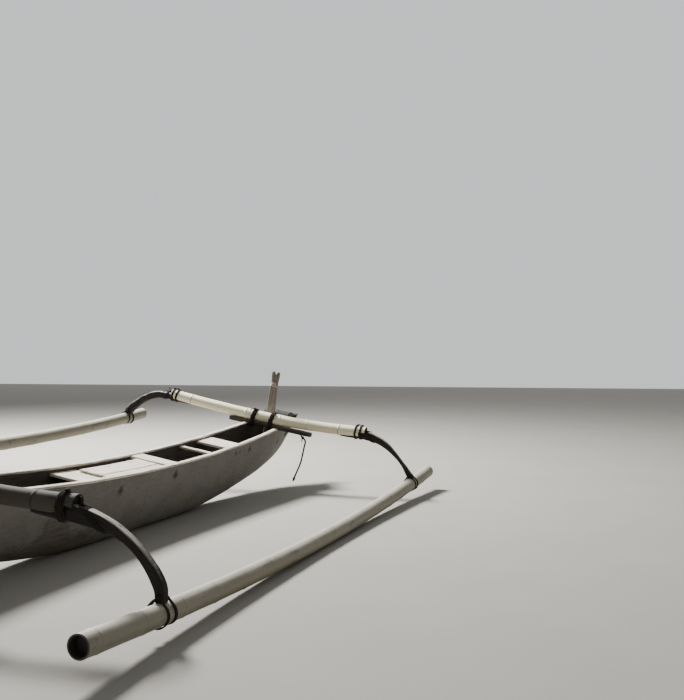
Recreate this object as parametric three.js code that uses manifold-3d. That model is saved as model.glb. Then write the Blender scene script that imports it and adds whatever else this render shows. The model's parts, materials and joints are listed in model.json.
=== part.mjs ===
// Double-outrigger canoe: a log hull with washstrakes, two bamboo booms, four bent elbows and two
// bamboo floats, all lashed. It lies beached, heeled over onto its keel and its starboard float.
// Millimetres. The boat is drawn upright: +X to the bow, +Y to port, +Z up, midship at X 0 and the
// lowest line of the keel at Z 0. One group then heels it over and stands it on the ground.
import * as THREE from 'three';
import { mergeVertices } from 'three/addons/utils/BufferGeometryUtils.js';
import Module from 'manifold-3d';

const wasm = await Module();
wasm.setup();

const GAP = 0.3;                  // clearance kept between pieces that touch
const STEP = 125;                 // longest straight step along the boat's curves: they stray under GAP / 3

// Hull
const HALF_LENGTH = 3740;         // midship to the tip of either end
const OPEN_HALF_LENGTH = 3030;    // midship to the solid end blocks
const SHEER_MIDSHIP = 604;        // top of the gunwale rail amidships
const SHEER_RISE = 148;           // how much higher it is at the booms
const STRAKE_DEPTH = 190;         // washstrake, from the rail down to the log
const WALL = 24;
const FLOOR = 50;
const RAIL_HEIGHT = 22;
const RAIL_INSIDE = 30;           // how far the rail reaches in from the hull's outer face
const RAIL_OVERHANG = 16;
// Sections of half the hull: distance from midship, keel height, half breadth at the sheer
const SECTIONS = [
  [0, 0, 226],
  [900, 0, 225],
  [1500, 48, 221],
  [2100, 140, 212],
  [2600, 235, 200],
  [3030, 365, 162],
  [3300, 510, 112],
  [3560, 668, 62],
  [3740, 795, 24],
];
const SECTION_TOP = 960;          // the lofted solids are cut off at the sheer, below this

// Outrigger
const BOOM_X = 2700;              // booms, fore and aft of midship
const BOOM_RADIUS = 59;
const BOOM_PORT_END = 1200;
const BOOM_STARBOARD_END = -1235;
const BOOM_NODES = [-930, -550, -215, 215, 570, 930];
const BOOM_NOTCH = 1165;          // beyond this a boom's end is cut away underneath, over its elbow
// The booms bend up towards their ends: how much higher they are RISE_REACH from the centreline
const RISE_REACH = 1145;
const BOOM_RISES = {
  bow: { port: 30, starboard: 66 },
  stern: { port: 84, starboard: 84 },
};
const CROSSPIECE_THICKNESS = 46;  // crosspiece under each boom
const CROSSPIECE_RISE = 22;       // its top above the rails
const FLOAT_RADIUS = 65;
const FLOAT_DROP = 372;           // float axis below the boom axis, at the booms
const FLOAT_NODE_SPACING = 430;
// Each float: its side, distance from the centreline at the two booms, how much lower it is
// amidships than there, and where its ends lie
const FLOATS = {
  port: { sign: 1, bow: 1772, stern: 1762, sag: 115, aft: -3500, fore: 3050 },
  starboard: { sign: -1, bow: 1838, stern: 1870, sag: 80, aft: -3500, fore: 3450 },
};
const NODE_HALF_WIDTH = 11;
const NODE_HEIGHT = 4;
const CULM_BORE_DEPTH = 70;       // the cane is open at its cut ends as far as the first wall
const CULM_WALL = 10;
const ELBOW_WIDTH = 58;
const FOOT_HOLE_RADIUS = 9;       // the lashing passes through the elbow's foot
const FOOT_HOLE_INSET = 18;       // the hole lies this far inboard of the float's axis
const BAND = 9;                   // thickness of a lashing

const sheer = x => SHEER_MIDSHIP + SHEER_RISE * (x / BOOM_X) ** 2;
const CROSSPIECE_BOTTOM = sheer(BOOM_X) + GAP + CROSSPIECE_RISE - CROSSPIECE_THICKNESS;
// The booms rest on the crosspieces with the ridges of their middle nodes
const BOOM_Z = sheer(BOOM_X) + CROSSPIECE_RISE + NODE_HEIGHT + BOOM_RADIUS + 2 * GAP;
const ENDS = { bow: 1, stern: -1 };

const MATERIALS = {
  weathered_wood: { color: 0x6f675c, roughness: 0.85 },
  painted_wood: { color: 0x8d8b84, roughness: 0.7 },
  pale_wood: { color: 0x9c917e, roughness: 0.8 },
  bamboo: { color: 0xc9b98c, roughness: 0.5 },
  rope: { color: 0x4a4136, roughness: 0.95 },
};
for (const [name, settings] of Object.entries(MATERIALS)) {
  MATERIALS[name] = new THREE.MeshStandardMaterial({ metalness: 0, ...settings });
}

// The boat stands upright in this group, which is heeled over at the end
const boat = new THREE.Group();

function addPiece(name, geometry, material) {
  const mesh = new THREE.Mesh(geometry, MATERIALS[material]);
  mesh.name = name;
  boat.add(mesh);
  return mesh;
}

// Solids: a closed geometry to a manifold, and back
function toSolid(geometry) {
  const bare = geometry.index ? geometry.toNonIndexed() : geometry.clone();
  bare.deleteAttribute('normal');
  bare.deleteAttribute('uv');
  const merged = mergeVertices(bare, 1e-3);
  return new wasm.Manifold(new wasm.Mesh({
    numProp: 3,
    vertProperties: new Float32Array(merged.attributes.position.array),
    triVerts: new Uint32Array(merged.index.array),
  }));
}

function toGeometry(solid) {
  const mesh = solid.getMesh();
  const geometry = new THREE.BufferGeometry();
  geometry.setAttribute('position', new THREE.BufferAttribute(new Float32Array(mesh.vertProperties), 3));
  geometry.setIndex(new THREE.BufferAttribute(new Uint32Array(mesh.triVerts), 1));
  geometry.computeVertexNormals();
  return geometry;
}

// Skin over a row of closed rings, each ring convex, with the first and last ring filled in
function loft(rings) {
  const points = [];
  const index = [];
  const sides = rings[0].length;
  for (const ring of rings) {
    for (const point of ring) points.push(point.x, point.y, point.z);
  }
  for (let r = 0; r + 1 < rings.length; r++) {
    for (let i = 0; i < sides; i++) {
      const a = r * sides + i;
      const b = r * sides + (i + 1) % sides;
      index.push(a, b, a + sides, b, b + sides, a + sides);
    }
  }
  const last = (rings.length - 1) * sides;
  for (let i = 1; i + 1 < sides; i++) {
    index.push(0, i + 1, i);
    index.push(last, last + i, last + i + 1);
  }
  const geometry = new THREE.BufferGeometry();
  geometry.setAttribute('position', new THREE.Float32BufferAttribute(points, 3));
  geometry.setIndex(index);
  return geometry;
}

// Value of a SECTIONS column at distance x from midship, on a smooth curve through the table
function sectionValue(x, column) {
  const at = Math.abs(x);
  let i = SECTIONS.findIndex(row => row[0] >= at);
  i = Math.max(1, i < 0 ? SECTIONS.length - 1 : i);
  const slope = k => {
    const before = SECTIONS[Math.max(0, k - 1)];
    const after = SECTIONS[Math.min(SECTIONS.length - 1, k + 1)];
    return k === 0 ? 0 : (after[column] - before[column]) / (after[0] - before[0]);
  };
  const start = SECTIONS[i - 1];
  const end = SECTIONS[i];
  const span = end[0] - start[0];
  const t = (at - start[0]) / span;
  return (2 * t ** 3 - 3 * t ** 2 + 1) * start[column] + (t ** 3 - 2 * t ** 2 + t) * span * slope(i - 1)
    + (3 * t ** 2 - 2 * t ** 3) * end[column] + (t ** 3 - t ** 2) * span * slope(i);
}

// Hull section at x, shrunk by a wall and a floor: round below, upright above, closed at SECTION_TOP
function hullRing(x, wall, floor) {
  const keel = sectionValue(x, 1) + floor;
  const half = sectionValue(x, 2) - wall;
  const depth = sheer(x) - keel;
  const ring = [];
  const steps = 14;
  for (let i = 0; i <= steps; i++) {
    const angle = Math.PI * i / steps;
    const y = half * Math.sign(Math.cos(angle)) * Math.abs(Math.cos(angle)) ** 0.75;
    ring.push(new THREE.Vector3(x, y, keel + depth * (1 - Math.sin(angle) ** 0.85)));
  }
  ring.push(new THREE.Vector3(x, -half, SECTION_TOP));
  ring.push(new THREE.Vector3(x, half, SECTION_TOP));
  return ring.reverse();
}

function hullLoft(reach, wall, floor) {
  const stations = [];
  const steps = 26;
  for (let i = 0; i <= steps; i++) stations.push(reach * Math.sin(Math.PI * (i / steps - 0.5)));
  return toSolid(loft(stations.map(x => hullRing(x, wall, floor))));
}

// Slab across the boat whose side view is the outline between two heights over x
function slab(from, to, bottom, top, halfWidth = 1000) {
  const shape = new THREE.Shape();
  const steps = Math.ceil((to - from) / STEP);
  const at = i => from + (to - from) * i / steps;
  shape.moveTo(from, bottom(from));
  for (let i = 1; i <= steps; i++) shape.lineTo(at(i), bottom(at(i)));
  for (let i = steps; i >= 0; i--) shape.lineTo(at(i), top(at(i)));
  const geometry = new THREE.ExtrudeGeometry(shape, { depth: 2 * halfWidth, bevelEnabled: false });
  geometry.rotateX(Math.PI / 2).translate(0, halfWidth, 0);
  return toSolid(geometry);
}

function box(x0, x1, y0, y1, z0, z1) {
  const geometry = new THREE.BoxGeometry(x1 - x0, y1 - y0, z1 - z0);
  geometry.translate((x0 + x1) / 2, (y0 + y1) / 2, (z0 + z1) / 2);
  return toSolid(geometry);
}

const outerHull = hullLoft(HALF_LENGTH, 0, 0);
const shell = outerHull.subtract(hullLoft(OPEN_HALF_LENGTH, WALL, FLOOR));
const cavity = hullLoft(OPEN_HALF_LENGTH - GAP, WALL + GAP, FLOOR + GAP);
const strakeTop = x => sheer(x) - RAIL_HEIGHT;
const seam = x => sheer(x) - STRAKE_DEPTH;
// Room for a thwart: out to the strakes below the rails, and between the rails above that
const thwartRoom = cavity.intersect(slab(-HALF_LENGTH, HALF_LENGTH, () => 0, strakeTop))
  .add(hullLoft(OPEN_HALF_LENGTH - GAP, RAIL_INSIDE + GAP, FLOOR + GAP));

function makeHull() {
  const log = shell.intersect(slab(-HALF_LENGTH - 1, HALF_LENGTH + 1, () => -10, seam));
  addPiece('hull_log', toGeometry(log), 'weathered_wood');
  const planks = shell.intersect(
    slab(-OPEN_HALF_LENGTH + GAP, OPEN_HALF_LENGTH - GAP, x => seam(x) + GAP, strakeTop));
  for (const [side, y0, y1] of [['port', 1, 400], ['starboard', -400, -1]]) {
    const plank = planks.intersect(box(-HALF_LENGTH, HALF_LENGTH, y0, y1, 0, SECTION_TOP));
    addPiece(`washstrake_${side}`, toGeometry(plank), 'painted_wood');
  }
}

function makeRails() {
  const reach = OPEN_HALF_LENGTH - GAP;
  const steps = Math.ceil(2 * reach / STEP);
  for (const [side, sign] of [['port', 1], ['starboard', -1]]) {
    const rings = [];
    for (let i = 0; i <= steps; i++) {
      const x = -reach + 2 * reach * i / steps;
      const outer = sectionValue(x, 2) + RAIL_OVERHANG;
      const inner = sectionValue(x, 2) - RAIL_INSIDE;
      const bottom = strakeTop(x) + GAP;
      const top = sheer(x);
      const corners = [[inner, bottom], [outer, bottom], [outer, top - 5], [outer - 7, top], [inner, top]];
      const ring = corners.map(([y, z]) => new THREE.Vector3(x, sign * y, z));
      rings.push(sign > 0 ? ring : ring.reverse());
    }
    addPiece(`gunwale_rail_${side}`, loft(rings), 'pale_wood');
  }
}

// Solid ends: a raised block, a notch and the tip of the stem
function makeStemBlocks() {
  const tip = HALF_LENGTH + 5;
  const outline = [
    [OPEN_HALF_LENGTH, 850], [3066, 880], [3186, 888], [3319, 868], [3405, 812], [3425, 775], [3545, 768],
    [3552, 822], [tip, 812],
  ];
  const steps = Math.ceil((tip - OPEN_HALF_LENGTH) / STEP);
  for (let i = 0; i <= steps; i++) {
    const x = tip + (OPEN_HALF_LENGTH - tip) * i / steps;
    outline.push([x, seam(x) + GAP]);
  }
  for (const [end, sign] of Object.entries(ENDS)) {
    const shape = new THREE.Shape(outline.map(([x, z]) => new THREE.Vector2(sign * x, z)));
    const geometry = new THREE.ExtrudeGeometry(shape, { depth: 800, bevelEnabled: false });
    geometry.rotateX(Math.PI / 2).translate(0, 400, 0);
    addPiece(`stem_block_${end}`, toGeometry(outerHull.intersect(toSolid(geometry))), 'weathered_wood');
  }
}

// Thwarts: name, aft edge, fore edge, depth of the top below the sheer, thickness
const THWARTS = [
  ['thwart_stern', -950, -600, 42, 26],
  ['deck_bearer', 180, 225, 42, 26],
  ['thwart_mid', 240, 436, 10, 26],
  ['thwart_fore', 1150, 1206, 30, 26],
  ['seat_thwart_bow', 1500, 1790, 26, 28],
  ['seat_thwart_stern', -2250, -1960, 26, 28],
];

function makeThwarts() {
  for (const [name, aft, fore, drop, thickness] of THWARTS) {
    const middle = (aft + fore) / 2;
    const plank = new THREE.BoxGeometry(fore - aft, 500, thickness);
    const slope = Math.atan(2 * SHEER_RISE * middle / BOOM_X ** 2);
    plank.rotateY(-slope).translate(middle, 0, sheer(middle) - drop - thickness / 2);
    addPiece(name, toGeometry(toSolid(plank).intersect(thwartRoom)), 'pale_wood');
  }
}

// Two loose boards laid side by side from the stern thwart to the bearer
function makeDeckBoards() {
  const thickness = 20;
  const top = x => sheer(x) - 42 + GAP + thickness;
  const from = -660;
  const to = 232;
  const boards = slab(from, to, x => top(x) - thickness, top);
  for (const [side, y0, y1] of [['port', -85, 121], ['starboard', -185, -95]]) {
    const board = boards.intersect(box(from, to, y0, y1, 0, SECTION_TOP));
    addPiece(`deck_board_${side}`, toGeometry(board), 'pale_wood');
  }
}

// Cane along a path given by its centre at a distance: round rings, a ridge at each node
function caneRings(centre, from, to, nodes, radius, direction, spacing) {
  const sides = 12;
  const stations = [from];
  for (const node of [...nodes, to]) {
    const start = stations.at(-1);
    const end = node === to ? to : node - NODE_HALF_WIDTH;
    const steps = Math.ceil((end - start) / spacing);
    for (let i = 1; i <= steps; i++) stations.push(start + (end - start) * i / steps);
    if (node !== to) stations.push(node, node + NODE_HALF_WIDTH);
  }
  return stations.map(at => {
    const swell = nodes.includes(at) ? NODE_HEIGHT : 0;
    const middle = centre(at);
    const ring = [];
    for (let i = 0; i < sides; i++) {
      const angle = 2 * Math.PI * i / sides;
      const across = (radius + swell) * Math.cos(angle);
      const up = (radius + swell) * Math.sin(angle);
      ring.push(direction === 'x'
        ? new THREE.Vector3(middle.x, middle.y + across, middle.z + up)
        : new THREE.Vector3(middle.x - across, middle.y, middle.z + up));
    }
    return ring;
  });
}

const boomRise = (end, y) => BOOM_RISES[end][y > 0 ? 'port' : 'starboard'];
const boomCentre = end => y => new THREE.Vector3(ENDS[end] * BOOM_X, y,
  BOOM_Z + boomRise(end, y) * (y / RISE_REACH) ** 2);

const floatCentre = cane => x => {
  const y = (cane.bow + cane.stern) / 2 + (cane.bow - cane.stern) / 2 * x / BOOM_X;
  const droop = cane.sag * (1 - (x / BOOM_X) ** 2);
  return new THREE.Vector3(x, cane.sign * y, BOOM_Z - FLOAT_DROP - droop);
};

function floatSolid(cane, grow) {
  const nodes = [];
  for (let x = cane.aft + 120; x < cane.fore - 60; x += FLOAT_NODE_SPACING) nodes.push(x);
  return toSolid(loft(caneRings(
    floatCentre(cane), cane.aft, cane.fore, nodes, FLOAT_RADIUS + grow, 'x', 2 * STEP)));
}

function boomSolid(end, grow) {
  const solid = toSolid(loft(caneRings(boomCentre(end), BOOM_STARBOARD_END - grow, BOOM_PORT_END + grow,
    BOOM_NODES, BOOM_RADIUS + grow, 'y', STEP)));
  const x = ENDS[end] * BOOM_X;
  const cut = side => BOOM_Z + ELBOWS[end][side].top[1][1] - grow;
  return solid
    .subtract(box(x - 100, x + 100, BOOM_NOTCH + grow, BOOM_PORT_END + 100, 0, cut('port')))
    .subtract(box(x - 100, x + 100, BOOM_STARBOARD_END - 100, -BOOM_NOTCH - grow, 0, cut('starboard')));
}

function makeBooms() {
  for (const end of Object.keys(ENDS)) addPiece(`boom_${end}`, toGeometry(boomSolid(end, 0)), 'bamboo');
}

// Plug that hollows a float's cut end as far as the first wall of the cane
function culmBore(cane, end) {
  const radius = FLOAT_RADIUS - CULM_WALL;
  const bore = new THREE.CylinderGeometry(radius, radius, 2 * CULM_BORE_DEPTH, 12);
  const centre = floatCentre(cane);
  const at = centre(cane[end]);
  const inward = centre(cane[end] - Math.sign(cane[end]) * CULM_BORE_DEPTH);
  bore.rotateZ(Math.PI / 2).rotateY(-Math.atan((at.z - inward.z) / (at.x - inward.x)));
  bore.translate(at.x, at.y, at.z);
  return toSolid(bore);
}

function makeFloats() {
  for (const [side, cane] of Object.entries(FLOATS)) {
    const solid = floatSolid(cane, 0).subtract(culmBore(cane, 'aft')).subtract(culmBore(cane, 'fore'));
    addPiece(`float_${side}`, toGeometry(solid), 'bamboo');
  }
}

// Crosspiece: a thick board with round ends under each boom, notched over the strakes and rails
const CROSSPIECE_HALF_LENGTH = 518;
const CROSSPIECE_HALF_WIDTH = 58;
const CROSSPIECE_SHIFT = -95;     // it lies a little to starboard
const railNotches = slab(-OPEN_HALF_LENGTH, OPEN_HALF_LENGTH, () => 0, x => sheer(x) + GAP, 217)
  .subtract(box(-HALF_LENGTH, HALF_LENGTH, -158, 158, -10, SECTION_TOP));

function makeCrosspieces() {
  for (const [end, sign] of Object.entries(ENDS)) {
    const shape = new THREE.Shape();
    const straight = CROSSPIECE_HALF_LENGTH - CROSSPIECE_HALF_WIDTH;
    shape.absarc(0, straight, CROSSPIECE_HALF_WIDTH, 0, Math.PI, false);
    shape.absarc(0, -straight, CROSSPIECE_HALF_WIDTH, Math.PI, 2 * Math.PI, false);
    const settings = { depth: CROSSPIECE_THICKNESS, bevelEnabled: false, curveSegments: 8 };
    const board = new THREE.ExtrudeGeometry(shape, settings);
    board.translate(sign * BOOM_X, CROSSPIECE_SHIFT, CROSSPIECE_BOTTOM);
    addPiece(`crosspiece_${end}`, toGeometry(toSolid(board).subtract(railNotches)), 'weathered_wood');
  }
}

// Elbows in side view, distance from the centreline and height from the boom's middle. The top starts
// inside the boom at the root's tip and rises to the boom's notch, then bends over to the foot; the
// underside runs back from the heel. Each is drawn for a float at its reach, and its root lies as deep
// below the boom's axis as its lashing needs.
const STERN_ELBOW = {
  reach: 1870,
  root: 96,
  top: [[950, 28], [BOOM_NOTCH, 85], [1300, 88], [1412, 70], [1500, 44], [1583, 12], [1660, -33], [1745, -91],
    [1810, -132], [1856, -201], [1878, -270], [1884, -330]],
  under: [[1838, -330], [1815, -240], [1745, -160], [1660, -85], [1590, -37], [1480, -17], [1318, -5],
    [1195, -2], [1115, -11], [950, -8]],
};
const ELBOWS = {
  bow: {
    port: {
      reach: 1772,
      root: 69,
      top: [[950, -5], [BOOM_NOTCH, 35], [1300, 36], [1380, 28], [1450, 12], [1520, -14], [1600, -82],
        [1690, -152], [1755, -220], [1790, -275], [1800, -330]],
      under: [[1745, -330], [1687, -258], [1605, -168], [1510, -95], [1404, -50], [1285, -30], [1150, -36],
        [950, -42]],
    },
    starboard: {
      reach: 1838,
      root: 76,
      top: [[950, 15], [BOOM_NOTCH, 72], [1300, 79], [1371, 66], [1447, 37], [1525, -8], [1610, -76],
        [1700, -158], [1795, -235], [1846, -278], [1862, -330]],
      under: [[1808, -330], [1744, -240], [1672, -160], [1582, -100], [1490, -52], [1410, -20], [1300, -4],
        [1195, -3], [1115, -11], [950, -17]],
    },
  },
  stern: { port: STERN_ELBOW, starboard: STERN_ELBOW },
};
const STRETCH_FROM = 1260;        // beyond this an elbow's outline is stretched to meet its float

function elbowShape(elbow, floatY) {
  const stretch = (floatY - elbow.reach) / (elbow.reach - STRETCH_FROM);
  const vectors = points => points.map(([y, z]) =>
    new THREE.Vector2(y + stretch * Math.max(0, y - STRETCH_FROM), z));
  const [tip, notch, ...top] = vectors(elbow.top);
  const [heel, ...under] = vectors(elbow.under);
  const shape = new THREE.Shape();
  shape.moveTo(tip.x, tip.y);
  shape.lineTo(notch.x, notch.y);
  shape.splineThru(top);
  shape.lineTo(heel.x, heel.y);
  shape.splineThru(under);
  return shape;
}

// Side to side hole through an elbow's foot, just above the float
function footHole(end, cane, radius, halfLength) {
  const centre = floatCentre(cane)(ENDS[end] * BOOM_X);
  const hole = new THREE.CylinderGeometry(radius, radius, 2 * halfLength, 10);
  hole.rotateZ(Math.PI / 2);
  hole.translate(centre.x, centre.y - cane.sign * FOOT_HOLE_INSET, centre.z + FLOAT_RADIUS + 32);
  return toSolid(hole);
}

function makeElbows() {
  for (const [end, endSign] of Object.entries(ENDS)) {
    for (const [side, cane] of Object.entries(FLOATS)) {
      const shape = elbowShape(ELBOWS[end][side], cane[end]);
      const settings = { depth: ELBOW_WIDTH, bevelEnabled: false, curveSegments: 3 };
      const geometry = new THREE.ExtrudeGeometry(shape, settings);
      // Shape axes X, Y and depth Z become the boat's Y, Z and X
      geometry.rotateX(Math.PI / 2).rotateZ(Math.PI / 2).translate(-ELBOW_WIDTH / 2, 0, BOOM_Z);
      if (cane.sign < 0) geometry.rotateZ(Math.PI);
      geometry.translate(endSign * BOOM_X, 0, 0);
      const solid = toSolid(geometry)
        .subtract(boomSolid(end, GAP))
        .subtract(floatSolid(cane, GAP))
        .subtract(footHole(end, cane, FOOT_HOLE_RADIUS + GAP, 100));
      addPiece(`elbow_${end}_${side}`, toGeometry(solid), 'weathered_wood');
    }
  }
}

// Ring round a boom and what lies under it: an arc over the cane, then straight down to two corners
function bandShape(radius, halfWidth, bottom) {
  const shape = new THREE.Shape();
  shape.absarc(0, 0, radius, -0.35, Math.PI + 0.35, false);
  shape.lineTo(-halfWidth, bottom);
  shape.lineTo(halfWidth, bottom);
  return shape;
}

function addBand(name, end, y, length, halfWidth, bottom) {
  const outer = bandShape(BOOM_RADIUS + NODE_HEIGHT + BAND, halfWidth + BAND, bottom - BAND);
  const inner = bandShape(BOOM_RADIUS + GAP, halfWidth + GAP, bottom - GAP);
  const settings = { depth: length, bevelEnabled: false, curveSegments: 14 };
  const band = toSolid(new THREE.ExtrudeGeometry(outer, settings));
  const hole = new THREE.ExtrudeGeometry(inner, { ...settings, depth: length * 3 }).translate(0, 0, -length);
  const geometry = toGeometry(band.subtract(toSolid(hole)));
  const centre = boomCentre(end)(y);
  const slope = Math.atan(2 * boomRise(end, y) * y / RISE_REACH ** 2);
  geometry.translate(0, 0, -length / 2).rotateX(Math.PI / 2 + slope);
  geometry.translate(centre.x, centre.y, centre.z);
  addPiece(name, toGeometry(toSolid(geometry).subtract(boomSolid(end, GAP))), 'rope');
}

// Pair of rings round a float, one on each side of an elbow's foot, tied through the foot's hole
function floatLashing(end, cane) {
  const centre = floatCentre(cane)(ENDS[end] * BOOM_X);
  const middle = centre.y - cane.sign * FOOT_HOLE_INSET;
  const offset = ELBOW_WIDTH / 2 + 18;
  const halfWidth = 12;
  let solid = footHole(end, cane, FOOT_HOLE_RADIUS, offset);
  for (const x of [centre.x - offset, centre.x + offset]) {
    const ring = new THREE.CylinderGeometry(FLOAT_RADIUS + BAND, FLOAT_RADIUS + BAND, 2 * halfWidth, 16);
    ring.rotateZ(Math.PI / 2).translate(x, centre.y, centre.z);
    const riser = box(x - halfWidth, x + halfWidth, middle - 16, middle + 16,
      centre.z + FLOAT_RADIUS - 20, centre.z + FLOAT_RADIUS + 44);
    solid = solid.add(toSolid(ring)).add(riser);
  }
  return solid.subtract(floatSolid(cane, GAP));
}

function makeLashings() {
  for (const end of Object.keys(ENDS)) {
    for (const [side, cane] of Object.entries(FLOATS)) {
      addBand(`hull_lashing_${end}_${side}`, end, cane.sign > 0 ? 100 : -125, 58,
        CROSSPIECE_HALF_WIDTH + 3, -BOOM_RADIUS - NODE_HEIGHT - CROSSPIECE_THICKNESS - 2);
      addBand(`boom_lashing_${end}_${side}`, end, cane.sign * 1155, 74,
        ELBOW_WIDTH / 2 + 1, -ELBOWS[end][side].root);
      addPiece(`float_lashing_${end}_${side}`, toGeometry(floatLashing(end, cane)), 'rope');
    }
  }
}

// Forked post on the centreline, just forward of the bow boom, stepped on the hull's floor
function makePost() {
  const x = BOOM_X + 112;
  const foot = sectionValue(x, 1) + FLOOR - 20;
  const top = BOOM_Z + 530;
  const shape = new THREE.Shape();
  // Half breadth and height: foot, shaft, neck, flared fork with rounded prongs, notch
  const outline = [
    [16, foot], [16, foot + 60], [47, foot + 110], [46, top - 420], [39, top - 180], [38, top - 160],
    [23, top - 146], [23, top - 136], [36, top - 105], [43, top - 64], [43, top - 22], [36, top - 3],
    [25, top - 2], [15, top - 26], [0, top - 42],
  ];
  const mirrored = outline.slice(0, -1).reverse().map(([y, z]) => [-y, z]);
  // It leans: its middle is this far to starboard at a height
  const middle = z => -37 + 19 * (z - foot) / (top - foot);
  shape.setFromPoints([...outline, ...mirrored].map(([y, z]) => new THREE.Vector2(middle(z) + y, z)));
  const depth = 52;
  const geometry = new THREE.ExtrudeGeometry(shape, { depth, bevelEnabled: false });
  geometry.rotateX(Math.PI / 2).rotateZ(Math.PI / 2).translate(x - depth / 2, 0, 0);
  const free = cavity.add(box(0, HALF_LENGTH, -100, 100, SECTION_TOP - 40, top + 40));
  addPiece('forked_post', toGeometry(toSolid(geometry).intersect(free)), 'weathered_wood');
}

// Angle at which the keel and the starboard float both touch the ground
function restingHeel() {
  const lowest = angle => {
    const height = point => point.y * Math.sin(angle) + point.z * Math.cos(angle);
    const keel = Math.min(...hullRing(0, 0, 0).map(height));
    return keel - (height(floatCentre(FLOATS.starboard)(0)) - FLOAT_RADIUS);
  };
  let low = 0;
  let high = 0.5;
  for (let i = 0; i < 40; i++) {
    const middle = (low + high) / 2;
    if (lowest(middle) < 0) low = middle;
    else high = middle;
  }
  return low;
}

makeHull();
makeRails();
makeStemBlocks();
makeThwarts();
makeDeckBoards();
makeBooms();
makeFloats();
makeCrosspieces();
makeElbows();
makeLashings();
makePost();

boat.rotation.x = restingHeel();

// Rope left hanging from the starboard end of the bow crosspiece, straight down in the heeled boat
const ROPE_RADIUS = 10;
const ROPE_Y = -490;

function makeRope(origin) {
  const start = new THREE.Vector3(
    BOOM_X, ROPE_Y, CROSSPIECE_BOTTOM - 4 * GAP - ROPE_RADIUS * Math.tan(boat.rotation.x));
  boat.updateMatrixWorld();
  start.applyMatrix4(boat.matrixWorld).add(origin);
  // Route from the crosspiece: steps in X, Y and Z
  const route = [
    [0, 0, 0], [0, -1, -12], [0, -16, -29], [0, -36, -43], [0, -48, -61], [0, -50, -85], [0, -44, -110],
    [0, -36, -140], [0, -29, -175], [0, -21, -210], [0, -13, -245], [0, -4, -284], [1, 8, -320], [2, 22, -355],
    [3, 38, -390], [4, 55, -425], [5, 75, -470], [6, 99, -527],
  ];
  const curve = new THREE.CatmullRomCurve3(route.map(step => new THREE.Vector3(...step).add(start)));
  const section = new THREE.Shape().absarc(0, 0, ROPE_RADIUS, 0, 2 * Math.PI, false);
  const geometry = new THREE.ExtrudeGeometry(section, { extrudePath: curve, steps: 24, curveSegments: 5 });
  const rope = new THREE.Mesh(toGeometry(toSolid(geometry)), MATERIALS.rope);
  rope.name = 'hanging_rope';
  return rope;
}

// Stand it on the ground, centred on its own outline
const object = new THREE.Group();
object.add(boat);
object.updateMatrixWorld(true);
const bounds = new THREE.Box3().setFromObject(boat, true);
const origin = new THREE.Vector3(
  -(bounds.min.x + bounds.max.x) / 2, -(bounds.min.y + bounds.max.y) / 2, -bounds.min.z);
const rope = makeRope(origin);
boat.position.copy(origin);
object.add(rope);
object.updateMatrixWorld(true);

export default object;
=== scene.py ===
"""Double-outrigger canoe on its beach: the finish of every timber, cane and rope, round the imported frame.

The boat is drawn upright, in metres: X to the bow, Y to port, Z up, with the keel's lowest line at Z 0.
BOAT then heels it over onto its keel and its starboard float, as the frame stands.
"""

import json
import math

import bpy
from bpy.props import FloatProperty, FloatVectorProperty, PointerProperty
from mathutils import Matrix, Vector, noise
from mathutils.bvhtree import BVHTree
from mathutils.geometry import convex_hull_2d

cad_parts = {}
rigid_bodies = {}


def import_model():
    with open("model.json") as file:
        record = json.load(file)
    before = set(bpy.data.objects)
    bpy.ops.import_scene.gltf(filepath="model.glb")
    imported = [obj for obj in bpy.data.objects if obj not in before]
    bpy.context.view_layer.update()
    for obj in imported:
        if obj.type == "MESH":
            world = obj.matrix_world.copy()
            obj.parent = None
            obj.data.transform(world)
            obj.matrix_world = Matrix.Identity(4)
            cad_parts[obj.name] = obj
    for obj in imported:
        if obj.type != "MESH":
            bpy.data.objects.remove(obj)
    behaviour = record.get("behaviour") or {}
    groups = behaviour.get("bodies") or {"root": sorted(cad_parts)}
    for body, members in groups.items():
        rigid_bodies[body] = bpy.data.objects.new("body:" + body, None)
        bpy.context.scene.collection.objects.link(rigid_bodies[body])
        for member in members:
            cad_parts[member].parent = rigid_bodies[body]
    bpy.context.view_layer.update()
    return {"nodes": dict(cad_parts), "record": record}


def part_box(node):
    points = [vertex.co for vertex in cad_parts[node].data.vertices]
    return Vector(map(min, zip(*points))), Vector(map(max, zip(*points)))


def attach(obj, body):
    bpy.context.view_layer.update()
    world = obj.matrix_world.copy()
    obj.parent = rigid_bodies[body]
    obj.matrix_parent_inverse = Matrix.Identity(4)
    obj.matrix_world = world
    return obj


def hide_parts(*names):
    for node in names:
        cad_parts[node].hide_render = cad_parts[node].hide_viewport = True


bl_info = {
    "name": "Double-outrigger canoe",
    "version": (1, 0, 0),
    "blender": (4, 5, 0),
    "location": "3D View > Sidebar > Canoe",
    "description": "Log canoe with bamboo booms and floats, built round its packed frame",
    "category": "Object",
}

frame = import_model()

# Hull: sizes that the frame's solids share
GAP = 0.0003
SHEER_MIDSHIP = 0.604  # top of the gunwale rail amidships
SHEER_RISE = 0.148  # how much higher it is at the booms
STRAKE_DEPTH = 0.190  # washstrake, from the rail down to the log
WALL = 0.024
FLOOR = 0.050
RAIL_HEIGHT = 0.022
RAIL_INSIDE = 0.030
RAIL_OVERHANG = 0.016
LOG_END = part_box("hull_log")[1].x
OPEN_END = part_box("washstrake_port")[1].x
# Half the hull's sections: distance from midship, keel height, half breadth at the sheer
SECTIONS = [
    (0.000, 0.000, 0.226),
    (0.900, 0.000, 0.225),
    (1.500, 0.048, 0.221),
    (2.100, 0.140, 0.212),
    (2.600, 0.235, 0.200),
    (3.030, 0.365, 0.162),
    (3.300, 0.510, 0.112),
    (3.560, 0.668, 0.062),
    (3.740, 0.795, 0.024),
]

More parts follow.
